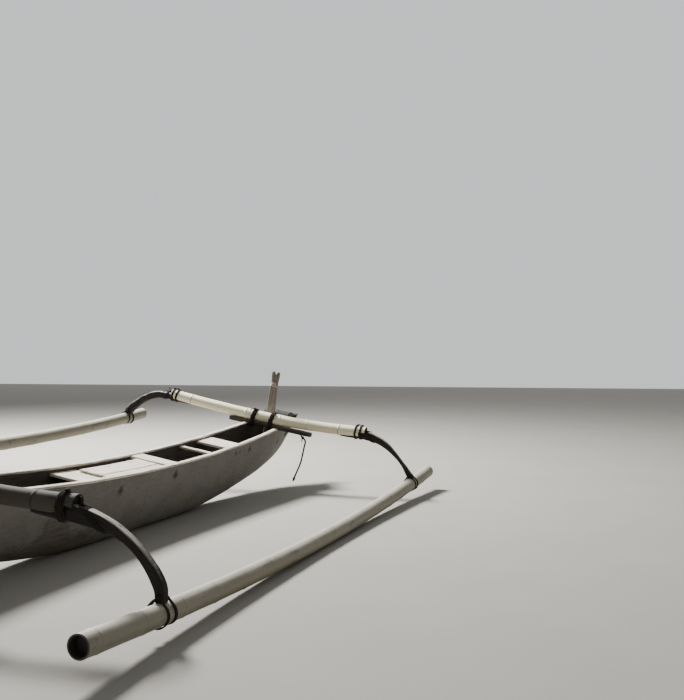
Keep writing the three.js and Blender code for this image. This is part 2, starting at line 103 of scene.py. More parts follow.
# Outrigger
BOOM_X = 2.700
BOOM_RADIUS = 0.059
BOOM_ENDS = (-1.235, 1.200)
# Beyond the notch a boom's end is cut away underneath: height of the cut over the boom's middle
BOOM_NOTCH = 1.165
BOOM_CUTS = {"bow": {"port": 0.035, "starboard": 0.072}, "stern": {"port": 0.085, "starboard": 0.085}}
# How much higher a boom is at RISE_REACH from the centreline
RISE_REACH = 1.145
BOOM_RISES = {"bow": {"port": 0.030, "starboard": 0.066}, "stern": {"port": 0.084, "starboard": 0.084}}
CROSSPIECE_THICKNESS = 0.046
CROSSPIECE_RISE = 0.022
FLOAT_RADIUS = 0.065
FLOAT_DROP = 0.372
FLOAT_NODE_SPACING = 0.430
FLOATS = {
    "port": {"sign": 1, "bow": 1.772, "stern": 1.762, "sag": 0.115, "aft": -3.500, "fore": 3.050},
    "starboard": {"sign": -1, "bow": 1.838, "stern": 1.870, "sag": 0.080, "aft": -3.500, "fore": 3.450},
}
NODE_HEIGHT = 0.004
ELBOW_WIDTH = 0.058
ENDS = {"bow": 1, "stern": -1}
SIDES = {"port": 1, "starboard": -1}


def sheer(x):
    return SHEER_MIDSHIP + SHEER_RISE * (x / BOOM_X) ** 2


BOOM_Z = sheer(BOOM_X) + CROSSPIECE_RISE + NODE_HEIGHT + BOOM_RADIUS + 2 * GAP
CROSSPIECE_BOTTOM = sheer(BOOM_X) + GAP + CROSSPIECE_RISE - CROSSPIECE_THICKNESS

# Heel and place of the boat, from the flat underside of the stern crosspiece
UNDERSIDE = next(m for m in frame["record"]["mounts"] if m["name"] == "stern_crosspiece_underside")
UNDERSIDE_SPOT = Vector((-BOOM_X, -0.44, CROSSPIECE_BOTTOM))
HEEL = math.atan2(UNDERSIDE["axis"][1], -UNDERSIDE["axis"][2])
TURN = Matrix.Rotation(HEEL, 4, "X")
BOAT = Matrix.Translation(Vector(UNDERSIDE["pos_m"]) - TURN @ UNDERSIDE_SPOT) @ TURN
UPRIGHT = BOAT.inverted()
BEAM = TURN @ Vector((0, 1, 0))  # across the boat, to port
RISE = TURN @ Vector((0, 0, 1))  # up in the boat
AHEAD = Vector((1, 0, 0))


def linear(code):
    """Linear RGB of an sRGB hex colour such as #c8b070"""
    shares = [int(code[i : i + 2], 16) / 255 for i in (1, 3, 5)]
    return tuple(c / 12.92 if c <= 0.04045 else ((c + 0.055) / 1.055) ** 2.4 for c in shares)


def colour_setting(name, description, code):
    return FloatVectorProperty(
        name=name, description=description, default=linear(code), subtype="COLOR", min=0, max=1, size=3
    )


class CanoeSizes(bpy.types.PropertyGroup):
    lashing_radius: FloatProperty(
        name="Lashing rope radius", description="Half the thickness of the rope in the lashings",
        default=0.0046, min=0.002, max=0.008, unit="LENGTH",
    )
    turn_pitch: FloatProperty(
        name="Pitch of turns", description="Distance from one turn of a lashing to the next",
        default=0.0094, min=0.005, max=0.02, unit="LENGTH",
    )
    wear: FloatProperty(
        name="Wear of timber", description="How far adzed and weathered faces stray from true",
        default=0.0022, min=0, max=0.006, unit="LENGTH",
    )
    grain: FloatProperty(
        name="Remesh size", description="Mesh spacing of the carved and worn pieces",
        default=0.0055, min=0.004, max=0.012, unit="LENGTH",
    )


class CanoeColours(bpy.types.PropertyGroup):
    log: colour_setting("Log", "Bare wood of the hull, where its paint is worn and inside", "#7a7166")
    paint: colour_setting("Paint", "Worn paint on the hull's sides", "#76736c")
    rail: colour_setting("Rail", "Bleached gunwale rails", "#e2d9c8")
    board: colour_setting("Boards", "Sawn boards, thwarts and seats", "#e4dac6")
    bamboo: colour_setting("Bamboo", "Booms and floats", "#f3ebd2")
    elbow: colour_setting("Elbows", "Bent natural crooks", "#2b2621")
    block: colour_setting("End blocks", "Carved end blocks", "#2c2824")
    crosspiece: colour_setting("Crosspieces", "Boards under the booms", "#4a433b")
    post: colour_setting("Post", "Forked post", "#8f887c")
    rope: colour_setting("Rope", "Fibre lashings", "#2b251f")
    floor: colour_setting("Floor", "Plain studio floor", "#a19d95")


# Curves of the hull

def section(x, column):
    """Value of a SECTIONS column at x, on a smooth curve through the table"""
    at = abs(x)
    i = next((k for k, row in enumerate(SECTIONS) if row[0] >= at), len(SECTIONS) - 1)
    i = max(1, i)

    def slope(k):
        if k == 0:
            return 0
        before, after = SECTIONS[k - 1], SECTIONS[min(len(SECTIONS) - 1, k + 1)]
        return (after[column] - before[column]) / (after[0] - before[0])

    start, end = SECTIONS[i - 1], SECTIONS[i]
    span = end[0] - start[0]
    t = (at - start[0]) / span
    return (
        (2 * t**3 - 3 * t**2 + 1) * start[column] + (t**3 - 2 * t**2 + t) * span * slope(i - 1)
        + (3 * t**2 - 2 * t**3) * end[column] + (t**3 - t**2) * span * slope(i)
    )


def seam(x):
    return sheer(x) - STRAKE_DEPTH


def breadth(x, z, wall=0.0, floor=0.0):
    """Half breadth of the hull at x and z, less a wall and a floor"""
    keel = section(x, 1) + floor
    share = min(1.0, max(0.0, (z - keel) / (sheer(x) - keel)))
    sine = (1 - share) ** (1 / 0.85)
    return (section(x, 2) - wall) * (1 - sine * sine) ** 0.375


def girth_point(x, share, wall, floor, top):
    """Point of the hull's section below the height top; share runs from 0 at port round the keel to 1"""
    keel = section(x, 1) + floor
    depth = sheer(x) - keel
    start = math.asin(min(1.0, max(0.0, 1 - (top - keel) / depth)) ** (1 / 0.85))
    angle = start + (math.pi - 2 * start) * share
    cosine = math.cos(angle)
    y = math.copysign((section(x, 2) - wall) * abs(cosine) ** 0.75, cosine)
    return Vector((x, y, keel + depth * (1 - math.sin(angle) ** 0.85)))


# Mesh helpers

NOISE_SEED = 3
WELD = 0.00002  # corners nearer than this are one
SWELL_SPACING = 0.12  # from one swell of a carved face to the next
FIBRE_SPACING = 0.016  # from one ridge of fibre to the next
FIBRE_SHARE = 0.35  # height of the ridges, as a share of the swells'


def stray(point, size, amount):
    """Small wander of a surface: noise of this size in metres, up to about this amount"""
    return noise.noise_vector(point / size) * amount


def pick(piece):
    """Select this piece alone and make it active"""
    bpy.ops.object.select_all(action="DESELECT")
    piece.select_set(True)
    bpy.context.view_layer.objects.active = piece


def bring_in(name, data):
    """A new object with this data, picked"""
    piece = bpy.data.objects.new(name, data)
    bpy.context.collection.objects.link(piece)
    pick(piece)
    return piece


def edit_whole(operator, **settings):
    """Run an edit operator on the whole of the active piece"""
    bpy.ops.object.mode_set(mode="EDIT")
    bpy.ops.mesh.select_all(action="SELECT")
    operator(**settings)
    bpy.ops.object.mode_set(mode="OBJECT")


def modify(piece, kind, **settings):
    """Add a modifier with these settings and apply it"""
    bpy.ops.object.modifier_add(type=kind)
    modifier = piece.modifiers[-1]
    for name, value in settings.items():
        setattr(modifier, name, value)
    bpy.ops.object.modifier_apply(modifier=modifier.name)


def mark_mesh(piece, places):
    """Set each vertex from (spot in the upright boat, grain coordinates, mark values)"""
    grain = piece.data.attributes.new("grain", "FLOAT_VECTOR", "POINT")
    mark = piece.data.attributes.new("mark", "FLOAT_VECTOR", "POINT")
    for vertex, lay, sign, (spot, along, marks) in zip(piece.data.vertices, grain.data, mark.data, places):
        placed = BOAT @ Vector(spot)
        # Nothing sinks into the floor
        vertex.co = (placed.x, placed.y, max(placed.z, GAP))
        lay.vector = along
        sign.vector = marks


def finish_piece(piece, finish, nodes, angle=60):
    """Smooth shading, finish, and the piece's place in the frame"""
    pick(piece)
    bpy.ops.object.shade_smooth_by_angle(angle=math.radians(angle))
    piece.data.materials.clear()
    piece.data.materials.append(finish_named(finish))
    # How far each vertex faces up: where finishes paint their highlight and sun-bleaching
    sky = piece.data.attributes.new("sky", "FLOAT", "POINT")
    for vertex, up in zip(piece.data.vertices, sky.data):
        up.value = vertex.normal.z
    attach(piece, "root")
    if nodes:
        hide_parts(*nodes)


def sweep(name, sides, rings, place):
    """A disc extruded ring by ring; place(ring, side) gives each vertex's spot, grain and marks"""
    bpy.ops.object.select_all(action="DESELECT")
    bpy.ops.mesh.primitive_circle_add(vertices=sides, radius=1, fill_type="NGON")
    piece = bpy.context.object
    piece.name = piece.data.name = name
    bpy.ops.object.mode_set(mode="EDIT")
    bpy.ops.mesh.select_all(action="SELECT")
    for _ in range(rings - 1):
        bpy.ops.mesh.extrude_region_move(TRANSFORM_OT_translate={"value": (0, 0, 1)})
    bpy.ops.object.mode_set(mode="OBJECT")
    places = []
    for vertex in piece.data.vertices:
        side = round(math.atan2(-vertex.co.x, vertex.co.y) / math.tau * sides) % sides
        places.append(place(round(vertex.co.z), side))
    mark_mesh(piece, places)
    edit_whole(bpy.ops.mesh.normals_make_consistent, inside=False)
    return piece


def bare_copy(name, source):
    """A copy of a solid with its doubles merged and nothing but its shape kept"""
    piece = bring_in(name, source.data.copy())
    edit_whole(bpy.ops.mesh.remove_doubles, threshold=WELD)
    for attribute in [attribute.name for attribute in piece.data.attributes]:
        if attribute not in ("position", ".edge_verts", ".corner_vert", ".corner_edge"):
            piece.data.attributes.remove(piece.data.attributes[attribute])
    return piece


def carve(name, node, grain_of, wear, size, rounds=3, fill=0.0):
    """The node's solid as a worn timber: remeshed, its edges rubbed round, its faces a little uneven.

    fill is how far the faces are brought out again after the rubbing.
    """
    piece = bare_copy(name, frame["nodes"][node])
    modify(piece, "REMESH", mode="VOXEL", voxel_size=size)
    modify(piece, "SMOOTH", factor=0.5, iterations=rounds)
    if fill:
        modify(piece, "DISPLACE", mid_level=0, strength=fill)
    places = []
    for vertex in piece.data.vertices:
        spot = UPRIGHT @ vertex.co
        along = Vector(grain_of(spot))
        fibre = Vector((along.x * 0.12, along.y, along.z))
        ridges = stray(fibre, FIBRE_SPACING, wear * FIBRE_SHARE)
        places.append((spot + stray(spot, SWELL_SPACING, wear) + ridges, along, (0, 0, 0)))
    mark_mesh(piece, places)
    return piece


def rounded(share, half_width, half_height, squareness=0.42):
    """Point at this share of the way round a rectangle with rubbed corners"""
    angle = math.tau * share
    across, up = math.cos(angle), math.sin(angle)
    return (
        math.copysign(abs(across) ** squareness, across) * half_width,
        math.copysign(abs(up) ** squareness, up) * half_height,
    )


def spread(start, end, spacing):
    """Evenly spaced stations no further apart than the spacing"""
    steps = max(1, math.ceil(abs(end - start) / spacing))
    return [start + (end - start) * i / steps for i in range(steps + 1)]


def rope_mesh(name, routes, radius):
    """Round rope along each route of points in the row's frame, all in one mesh"""
    curve = bpy.data.curves.new(name, "CURVE")
    curve.dimensions = "3D"
    curve.bevel_depth = radius
    curve.bevel_resolution = 2
    curve.use_fill_caps = True
    sides = 4 + 2 * curve.bevel_resolution
    for route in routes:
        spline = curve.splines.new("POLY")
        spline.points.add(len(route) - 1)
        for point, spot in zip(spline.points, route):
            point.co = (*spot, 1)
    bring_in(name, curve)
    bpy.ops.object.convert(target="MESH")
    piece = bpy.context.object
    for uv_map in list(piece.data.uv_layers):
        piece.data.uv_layers.remove(uv_map)
    # Grain coordinates: length along the rope and place round it. Each route's rings come first, then
    # the rings that close its two ends.
    places = []
    for route in routes:
        length = 0.0
        for ring, spot in enumerate(route):
            if ring:
                length += (Vector(spot) - Vector(route[ring - 1])).length
            for side in range(sides):
                angle = math.tau * side / sides
                places.append((length, radius * math.cos(angle), radius * math.sin(angle)))
        places.extend([(length, 0, 0)] * (2 * sides))
    grain = piece.data.attributes.new("grain", "FLOAT_VECTOR", "POINT")
    for lay, along in zip(grain.data, places):
        lay.vector = along
    edit_whole(bpy.ops.mesh.remove_doubles, threshold=WELD)
    edit_whole(bpy.ops.mesh.normals_make_consistent, inside=False)
    return piece


# Materials

def add(tree, kind, *inputs, output=None, **settings):
    """Add a shader node and return one output: the one named, or else the first that is in use.

    inputs fill its sockets in the order that the editor shows them: each a value, another node's output, or
    None, which leaves the socket as it is. settings are the node's own properties.
    """
    node = tree.nodes.new("ShaderNode" + kind)
    for name, value in settings.items():
        setattr(node, name, value)
    shown = [socket for socket in node.inputs if socket.enabled]
    for socket, value in zip(shown, inputs):
        if isinstance(value, bpy.types.NodeSocket):
            tree.links.new(value, socket)
        elif value is not None:
            socket.default_value = value
    if output:
        return node.outputs[output]
    return next(socket for socket in node.outputs if socket.enabled)


def start_material(name, roughness, ior=1.5):
    """An empty material with one principled surface"""
    material = bpy.data.materials.new(name)
    material.use_nodes = True
    surface = material.node_tree.nodes["Principled BSDF"].inputs
    surface["Roughness"].default_value = roughness
    surface["IOR"].default_value = ior
    return material, material.node_tree


def end_material(material, colour, height, relief, strength=1.0):
    """Give the surface its colour, and a relief of so many metres from the height"""
    tree = material.node_tree
    surface = tree.nodes["Principled BSDF"].inputs
    tree.links.new(colour, surface["Base Color"])
    tree.links.new(add(tree, "Bump", strength, relief, None, height), surface["Normal"])
    return material


PALE = linear("#c9c2b4")  # what the sun leaves of any wood, and the colour of the painted highlight on upward faces


def shade(colour, factor):
    return (*(c * factor for c in colour), 1)


def figure(tree, grain, scale, stretch, detail=5, roughness=0.55, start=(0, 0, 0)):
    """Unevenness along the grain: noise of so many waves to a metre, stretched by the factors given"""
    laid = add(tree, "Mapping", grain, start, None, stretch)
    return add(tree, "TexNoise", laid, scale, detail, roughness)


def layer(tree, under, over, pattern, low, high, amount=1.0):
    """One colour laid over another: not where the pattern is low, and by this amount where it is high"""
    share = add(tree, "MapRange", pattern, low, high, 0, amount)
    return add(tree, "Mix", share, under, over, data_type="RGBA")


def bleached(tree, colour, pale, amount, grain, low=0.45, high=0.95):
    """The colour turned towards a pale one where the surface faces the sky, unevenly: sun-bleaching, and a
    painted highlight where the light falls on top
    """
    sky = add(tree, "Attribute", attribute_name="sky", output="Fac")
    uneven = figure(tree, grain, 24, (0.15, 1, 1), 4, 0.6, (5, 5, 1))
    off_middle = add(tree, "Math", uneven, 0.5, operation="SUBTRACT")
    wander = add(tree, "Math", off_middle, 0.9, operation="MULTIPLY")
    return layer(tree, colour, pale, add(tree, "Math", sky, wander, operation="ADD"), low, high, amount)


def grained_wood(name, colour, streak, dark, roughness=0.85, checks=0.5, patch=0.35, top_light_and_bleach=0.0):
    """Weathered wood: streak is the width of a band of grain in metres, checks how cracked it is"""
    material, tree = start_material(name, roughness)
    grain = add(tree, "Attribute", attribute_name="grain", output="Vector")
    bands = figure(tree, grain, 1 / streak, (0.05, 1, 1), 6, 0.6)
    fibres = figure(tree, grain, 3.2 / streak, (0.03, 1, 1), 3, 0.6, (4, 2, 7))
    patches = figure(tree, grain, 5.5, (0.6, 1, 1), 4, 0.6, (1, 5, 3))
    splits = figure(tree, grain, 0.55 / streak, (0.045, 1, 1), 4, 0.5, (9, 1, 2))
    # A split is a thin line where the noise crosses its middle value
    off_middle = add(tree, "Math", add(tree, "Math", splits, 0.5, operation="SUBTRACT"), operation="ABSOLUTE")
    split = add(tree, "MapRange", off_middle, 0.0, 0.022, checks, 0.0)
    broad = add(tree, "Math", bands, 0.65, operation="MULTIPLY")
    fine = add(tree, "Math", fibres, 0.35, operation="MULTIPLY")
    tone = add(tree, "Math", broad, fine, operation="ADD")
    base = layer(tree, shade(colour, dark), shade(colour, 1.12), tone, 0.32, 0.66)
    weathered = layer(tree, base, shade(colour, dark * 0.8), patches, 0.42, 0.68, patch)
    # Upward faces turn pale by the amount given: sun-bleaching, and a painted highlight where the light falls
    silver_and_highlight = add(tree, "Mix", fibres, shade(PALE, 0.7), shade(PALE, 1.1), data_type="RGBA")
    sunned_and_lit = bleached(tree, weathered, silver_and_highlight, top_light_and_bleach, grain)
    final = add(tree, "Mix", split, sunned_and_lit, shade(colour, 0.16), data_type="RGBA")
    depth = add(tree, "Math", split, 1.6, operation="MULTIPLY")
    return end_material(material, final, add(tree, "Math", tone, depth, operation="SUBTRACT"), 0.0035)


def rail_wood(colours):
    """Hardwood rail bleached nearly white by the sun and rubbed smooth by hands and lines"""
    return grained_wood("sun_bleached_rail", colours.rail, 0.011, 0.78, 0.72, 0.55, 0.18)


def board_wood(colours):
    """Sawn softwood boards gone pale and furry in the sun, with fine straight grain"""
    return grained_wood("sawn_weathered_board", colours.board, 0.013, 0.78, 0.8, 0.5, 0.15)


def elbow_wood(colours):
    """Natural crook, adzed on its sides with some bark left: dark, ropy grain that follows the bend, with a
    painted highlight along its upward faces
    """
    return grained_wood("adzed_branch_crook", colours.elbow, 0.015, 0.42, 0.86, 0.7, 0.5, 0.8)


def block_wood(colours):
    """End grain and carved faces of the log's ends, dark all over"""
    return grained_wood("carved_hardwood_block", colours.block, 0.016, 0.5, 0.85, 0.8, 0.4)


def crosspiece_wood(colours):
    """Adzed plank, dark grey, its upper face lighter with a painted highlight"""
    return grained_wood("adzed_grey_plank", colours.crosspiece, 0.016, 0.5, 0.85, 0.8, 0.4, 0.35)


def post_wood(colours):
    """Debarked pole, grey and split along its length"""
    return grained_wood("debarked_pole", colours.post, 0.012, 0.6, 0.85, 0.7, 0.3)


def hull_paint(colours):
    """Thin oil paint on planks and log: chalky, stained below the rail and worn to bare wood low down;
    inside, bare wood darkened as painted shade
    """
    material, tree = start_material("worn_oil_paint", 0.75)
    grain = add(tree, "Attribute", attribute_name="grain", output="Vector")
    mark = add(tree, "Attribute", attribute_name="mark", output="Vector")
    stain, bare, inside = add(tree, "SeparateXYZ", mark).node.outputs
    brush = figure(tree, grain, 46, (0.35, 1, 1), 5, 0.6)
    mottle = figure(tree, grain, 6, (0.7, 1, 1), 6, 0.62, (3, 8, 1))
    flecks = figure(tree, grain, 34, (0.55, 1, 1), 5, 0.65, (6, 2, 9))
    runs = figure(tree, grain, 20, (1, 1, 0.1), 4, 0.6, (2, 4, 0))
    bands = figure(tree, grain, 55, (0.05, 1, 1), 6, 0.6, (7, 7, 7))
    paint, log = colours.paint, colours.log
    chalk = layer(tree, shade(paint, 0.90), shade(paint, 1.06), brush, 0.35, 0.65)
    dirty = layer(tree, chalk, shade(paint, 0.6), mottle, 0.42, 0.7, 0.5)
    streaked = layer(tree, dirty, shade(paint, 0.5), runs, 0.55, 0.75, 0.35)
    flecked = layer(tree, streaked, shade(log, 0.45), flecks, 0.62, 0.68, 0.65)
    # Bare wood shows through where the wear mark, made ragged by noise, passes one half
    fine = add(tree, "Math", flecks, 1.3, operation="MULTIPLY")
    broad = add(tree, "Math", mottle, 0.9, operation="MULTIPLY")
    rough = add(tree, "Math", add(tree, "Math", fine, broad, operation="ADD"), 1.1, operation="SUBTRACT")
    worn = add(tree, "MapRange", add(tree, "Math", bare, rough, operation="ADD"), 0.38, 0.72, 0, 0.85)
    bare_wood = layer(tree, shade(log, 0.3), shade(log, 0.75), bands, 0.35, 0.65)
    # Inside the hull the bare wood is coloured very dark: painted shade
    shaded_inner_wood = layer(tree, shade(log, 0.16), shade(log, 0.42), bands, 0.35, 0.65)
    outer = add(tree, "Mix", worn, flecked, bare_wood, data_type="RGBA")
    stained = add(tree, "Mix", stain, outer, shade(log, 0.18), data_type="RGBA")
    final = add(tree, "Mix", inside, stained, shaded_inner_wood, data_type="RGBA")
    ridges = add(tree, "Math", brush, bands, operation="ADD")
    return end_material(material, final, add(tree, "Math", ridges, worn, operation="SUBTRACT"), 0.0025)


def bamboo(colours, name="sun_bleached_bamboo", mouldy=0.25, tint=1.0, top_light_and_bleach=0.0, roughness=0.45):
    """Mature bamboo culm: waxy and pale, finely ribbed along, with scars at its nodes and some mould"""
    material, tree = start_material(name, roughness)
    grain = add(tree, "Attribute", attribute_name="grain", output="Vector")
    mark = add(tree, "Attribute", attribute_name="mark", output="Vector")
    scar, sawn, length_tone = add(tree, "SeparateXYZ", mark).node.outputs
    ribs = figure(tree, grain, 90, (0.02, 1, 1), 4, 0.6)
    streaks = figure(tree, grain, 26, (0.05, 1, 1), 5, 0.6, (3, 1, 4))
    mould = figure(tree, grain, 14, (0.35, 1, 1), 6, 0.68, (8, 3, 5))
    pores = figure(tree, grain, 320, (0.1, 1, 1), 2)
    fine = add(tree, "Math", ribs, 0.45, operation="MULTIPLY")
    broad = add(tree, "Math", streaks, 0.55, operation="MULTIPLY")
    tone = add(tree, "Math", fine, broad, operation="ADD")
    base = shade(colours.bamboo, tint)[:3]
    straw = (base[0] * 0.9, base[1] * 0.88, base[2] * 0.76, 1)
    culm = layer(tree, shade(base, 0.84), shade(base, 1.08), tone, 0.34, 0.66)
    varied = add(tree, "Mix", length_tone, culm, straw, data_type="RGBA")
    spotted = layer(tree, varied, shade(base, 0.36), mould, 0.56, 0.72, mouldy)
    # Paler along the upper side by the amount given: sun-bleaching and a painted highlight
    crest = bleached(tree, spotted, shade(PALE, 1.15), top_light_and_bleach, grain, 0.5, 1.0)
    ringed = add(tree, "Mix", scar, crest, shade(base, 0.16), data_type="RGBA")
    # Sawn ends and the bore coloured nearly black: painted shade in the hollow culm
    shaded_bore_and_ends = layer(tree, shade(base, 0.10), shade(base, 0.26), pores, 0.45, 0.6)
    final = add(tree, "Mix", sawn, ringed, shaded_bore_and_ends, data_type="RGBA")
    return end_material(material, final, tone, 0.0016)


def fibre_rope(colours, name="laid_fibre_rope", colour=None):
    """Three-strand rope of palm fibre: strands wind round, hairy and matt, with darker grooves between, which
    are painted shade
    """
    material, tree = start_material(name, 0.95, 1.45)
    grain = add(tree, "Attribute", attribute_name="grain", output="Vector")
    length, across, up = add(tree, "SeparateXYZ", grain).node.outputs
    # Each of the three strands makes one full turn every 42 mm
    angle = add(tree, "Math", add(tree, "Math", up, across, operation="ARCTAN2"), 3, operation="MULTIPLY")
    turned = add(tree, "Math", length, math.tau / 0.014, operation="MULTIPLY")
    wave = add(tree, "Math", add(tree, "Math", turned, angle, operation="ADD"), operation="SINE")
    strand = add(tree, "MapRange", wave, -1, 1)
    fibres = figure(tree, grain, 260, (0.4, 1, 1), 4, 0.7)
    age = figure(tree, grain, 30, (1, 1, 1), 4, 0.6, (2, 2, 2))
    colour = colour or colours.rope
    # Darker towards the grooves between the strands: painted shade
    base = layer(tree, shade(colour, 0.3), shade(colour, 1.05), strand, 0.05, 0.6)
    hairy = layer(tree, base, shade(colour, 1.5), fibres, 0.4, 0.7, 0.5)
    aged = layer(tree, hairy, shade(colour, 0.55), age, 0.45, 0.7, 0.5)
    hairs = add(tree, "Math", fibres, 0.4, operation="MULTIPLY")
    return end_material(material, aged, add(tree, "Math", strand, hairs, operation="ADD"), 0.0016)


def floor_finish(colours):
    """Matt studio floor, faintly mottled so that it doesn't look like a void"""
    material, tree = start_material("matt_studio_floor", 0.95, 1.4)
    place = add(tree, "TexCoord", output="Object")
    drift = figure(tree, place, 0.9, (1, 1, 1), 5, 0.6)
    grit = figure(tree, place, 60, (1, 1, 1), 3, 0.6)
    base = layer(tree, shade(colours.floor, 0.94), shade(colours.floor, 1.0), drift, 0.3, 0.7)
    return end_material(material, base, grit, 0.002, 0.4)


def backdrop_finish(colours):
    """Pale surround that glows evenly, far behind the boat"""
    material, tree = start_material("pale_surround", 1.0)
    surface = tree.nodes["Principled BSDF"].inputs
    surface["Base Color"].default_value = (0, 0, 0, 1)
    surface["Emission Color"].default_value = shade(linear("#eceef0"), 1)
    surface["Emission Strength"].default_value = 0.95
    return material


FINISHES = {
    "backdrop": backdrop_finish,
    "bamboo": bamboo,
    "block": block_wood,
    "board": board_wood,
    "crosspiece": crosspiece_wood,
    "elbow": elbow_wood,
    # Floats: grey bamboo coloured darker still as painted shade, with a painted highlight and sun-bleaching
    # along the top
    "float_bamboo": lambda colours: bamboo(colours, "float_bamboo_shaded_and_lit", 0.85, 0.30, 0.38, 0.6),
    "floor": floor_finish,
    # Stern boom: mouldy bamboo coloured very dark, as painted shade
    "shade_dark_bamboo": lambda colours: bamboo(colours, "bamboo_in_painted_shade", 0.8, 0.075, 0.0, 0.85),
    "paint": hull_paint,
    "pale_rope": lambda colours: fibre_rope(colours, "bleached_fibre_rope", PALE),
    "post": post_wood,
    "rail": rail_wood,
    "rope": fibre_rope,
}
made_finishes = {}


def finish_named(kind):
    """The finish of that kind, made once"""
    if kind not in made_finishes:
        made_finishes[kind] = FINISHES[kind](bpy.context.scene.canoe_colours)
    return made_finishes[kind]


# Rope helpers

TURN_STEPS = 44  # points in one turn of rope
RAYS = 72  # directions in which a piece is felt for
FEELER = 0.3  # metres out from which it is felt for


def smooth_route(points, steps):
    """Smooth curve through the points, with so many steps from one to the next"""
    points = [Vector(p) for p in points]
    ends = [2 * points[0] - points[1], *points, 2 * points[-1] - points[-2]]
    route = []
    for a, b, c, d in zip(ends, ends[1:], ends[2:], ends[3:]):
        for i in range(steps):
            t = i / steps
            route.append(0.5 * (
                2 * b + (c - a) * t + (2 * a - 5 * b + 4 * c - d) * t**2 + (3 * b - a - 3 * c + d) * t**3
            ))
    return [*route, points[-1]]


def route_length(route):
    return sum((b - a).length for a, b in zip(route, route[1:]))


def knot_route(centre, size, across, up):
    """Overhand knot, pulled tight: a trefoil about the centre, in the plane of across and up"""
    out = across.cross(up)
    route = []
    for i in range(37):
        t = math.tau * i / 36
        flat = across * (math.sin(t) + 2 * math.sin(2 * t)) + up * (math.cos(t) - 2 * math.cos(2 * t))
        route.append(centre + (flat - out * math.sin(3 * t)) * size / 3)
    return route


def skin(piece):
    """The piece's surface, for rope to be drawn tight on"""
    mesh = piece.data
    return BVHTree.FromPolygons([v.co for v in mesh.vertices], [f.vertices for f in mesh.polygons])


def taut_outline(trees, centre, across, up, clearance, extra=()):
    """How far from the centre a tight rope runs round the surfaces, at equal angles in a plane"""
    spots = list(extra)
    for i in range(RAYS):
        out = across * math.cos(math.tau * i / RAYS) + up * math.sin(math.tau * i / RAYS)
        hits = [tree.ray_cast(centre + out * FEELER, -out, FEELER)[0] for tree in trees]
        spots.extend(spot for spot in hits if spot)
    flat = [Vector(((spot - centre).dot(across), (spot - centre).dot(up))) for spot in spots]
    corners = [flat[i] for i in convex_hull_2d(flat)]
    faces = []
    for a, b in zip(corners, [*corners[1:], corners[0]]):
        if (b - a).length > 1e-5:
            normal = Vector((b.y - a.y, a.x - b.x)).normalized()
            normal = normal if normal.dot(a) > 0 else -normal
            faces.append((normal, normal.dot(a) + clearance))
    reaches = []
    for i in range(TURN_STEPS):
        out = Vector((math.cos(math.tau * i / TURN_STEPS), math.sin(math.tau * i / TURN_STEPS)))
        reaches.append(min(reach / normal.dot(out) for normal, reach in faces if normal.dot(out) > 1e-3))
    return reaches


def wind(pieces, centre, along, up, start, turns, pitch, clearance):
    """Rope wound tightly round the pieces, turn after turn along an axis through the centre"""
    trees = [skin(piece) for piece in pieces]
    across = up.cross(along).normalized()
    rows = [
        taut_outline(trees, centre + along * (start + pitch * turn), across, up, clearance)
        for turn in range(turns + 1)
    ]
    route = []
    for i in range(turns * TURN_STEPS + 1):
        turn, step = divmod(i, TURN_STEPS)
        share = step / TURN_STEPS
        reach = rows[turn][step] * (1 - share) + rows[min(turn + 1, turns)][step] * share
        out = across * math.cos(math.tau * share) + up * math.sin(math.tau * share)
        route.append(centre + along * (start + pitch * (turn + share)) + out * reach)
    return route


def top_of(route, centre, up):
    """The route's highest point over the centre"""
    return max(route, key=lambda spot: (spot - centre).dot(up))


def tail(spot, direction, length, droop=0.5):
    """Loose rope end that leaves a knot and droops"""
    way = Vector(direction).normalized() * length
    shares = (0, 0.2, 0.4, 0.6, 0.8, 1.0)
    return [spot + way * share - Vector((0, 0, droop * length * share * share)) for share in shares]


def tie(node, routes, radius):
    """The finished rope that replaces a lashing's node"""
    finish_piece(rope_mesh(f"{node}_rope", routes, radius), "rope", [node])


# Stage

# Camera found from the boat's own points in the photograph, 684 by 700 pixels
CAMERA_SPOT = (-7.303, -4.428, 1.602)
CAMERA_YAW = math.radians(19.111)
CAMERA_PITCH = math.radians(0.007)
CAMERA_ROLL = math.radians(0.435)
SENSOR_WIDTH = 36
CAMERA_LENS = 948 * SENSOR_WIDTH / 700
FLOOR_SIZE = 2400
BACKDROP_SIZE = 46
BACKDROP_DISTANCE = 42
# Soft lamp: its place, the spot that it faces, its size in metres and its power in watts
LAMP_SPOT = Vector((5.0, 7.0, 9.5))
LAMP_AIM = Vector((1.2, -0.2, 0.5))
LAMP_SIZE = 3.2
LAMP_POWER = 6200
SURROUND_STRENGTH = 0.38


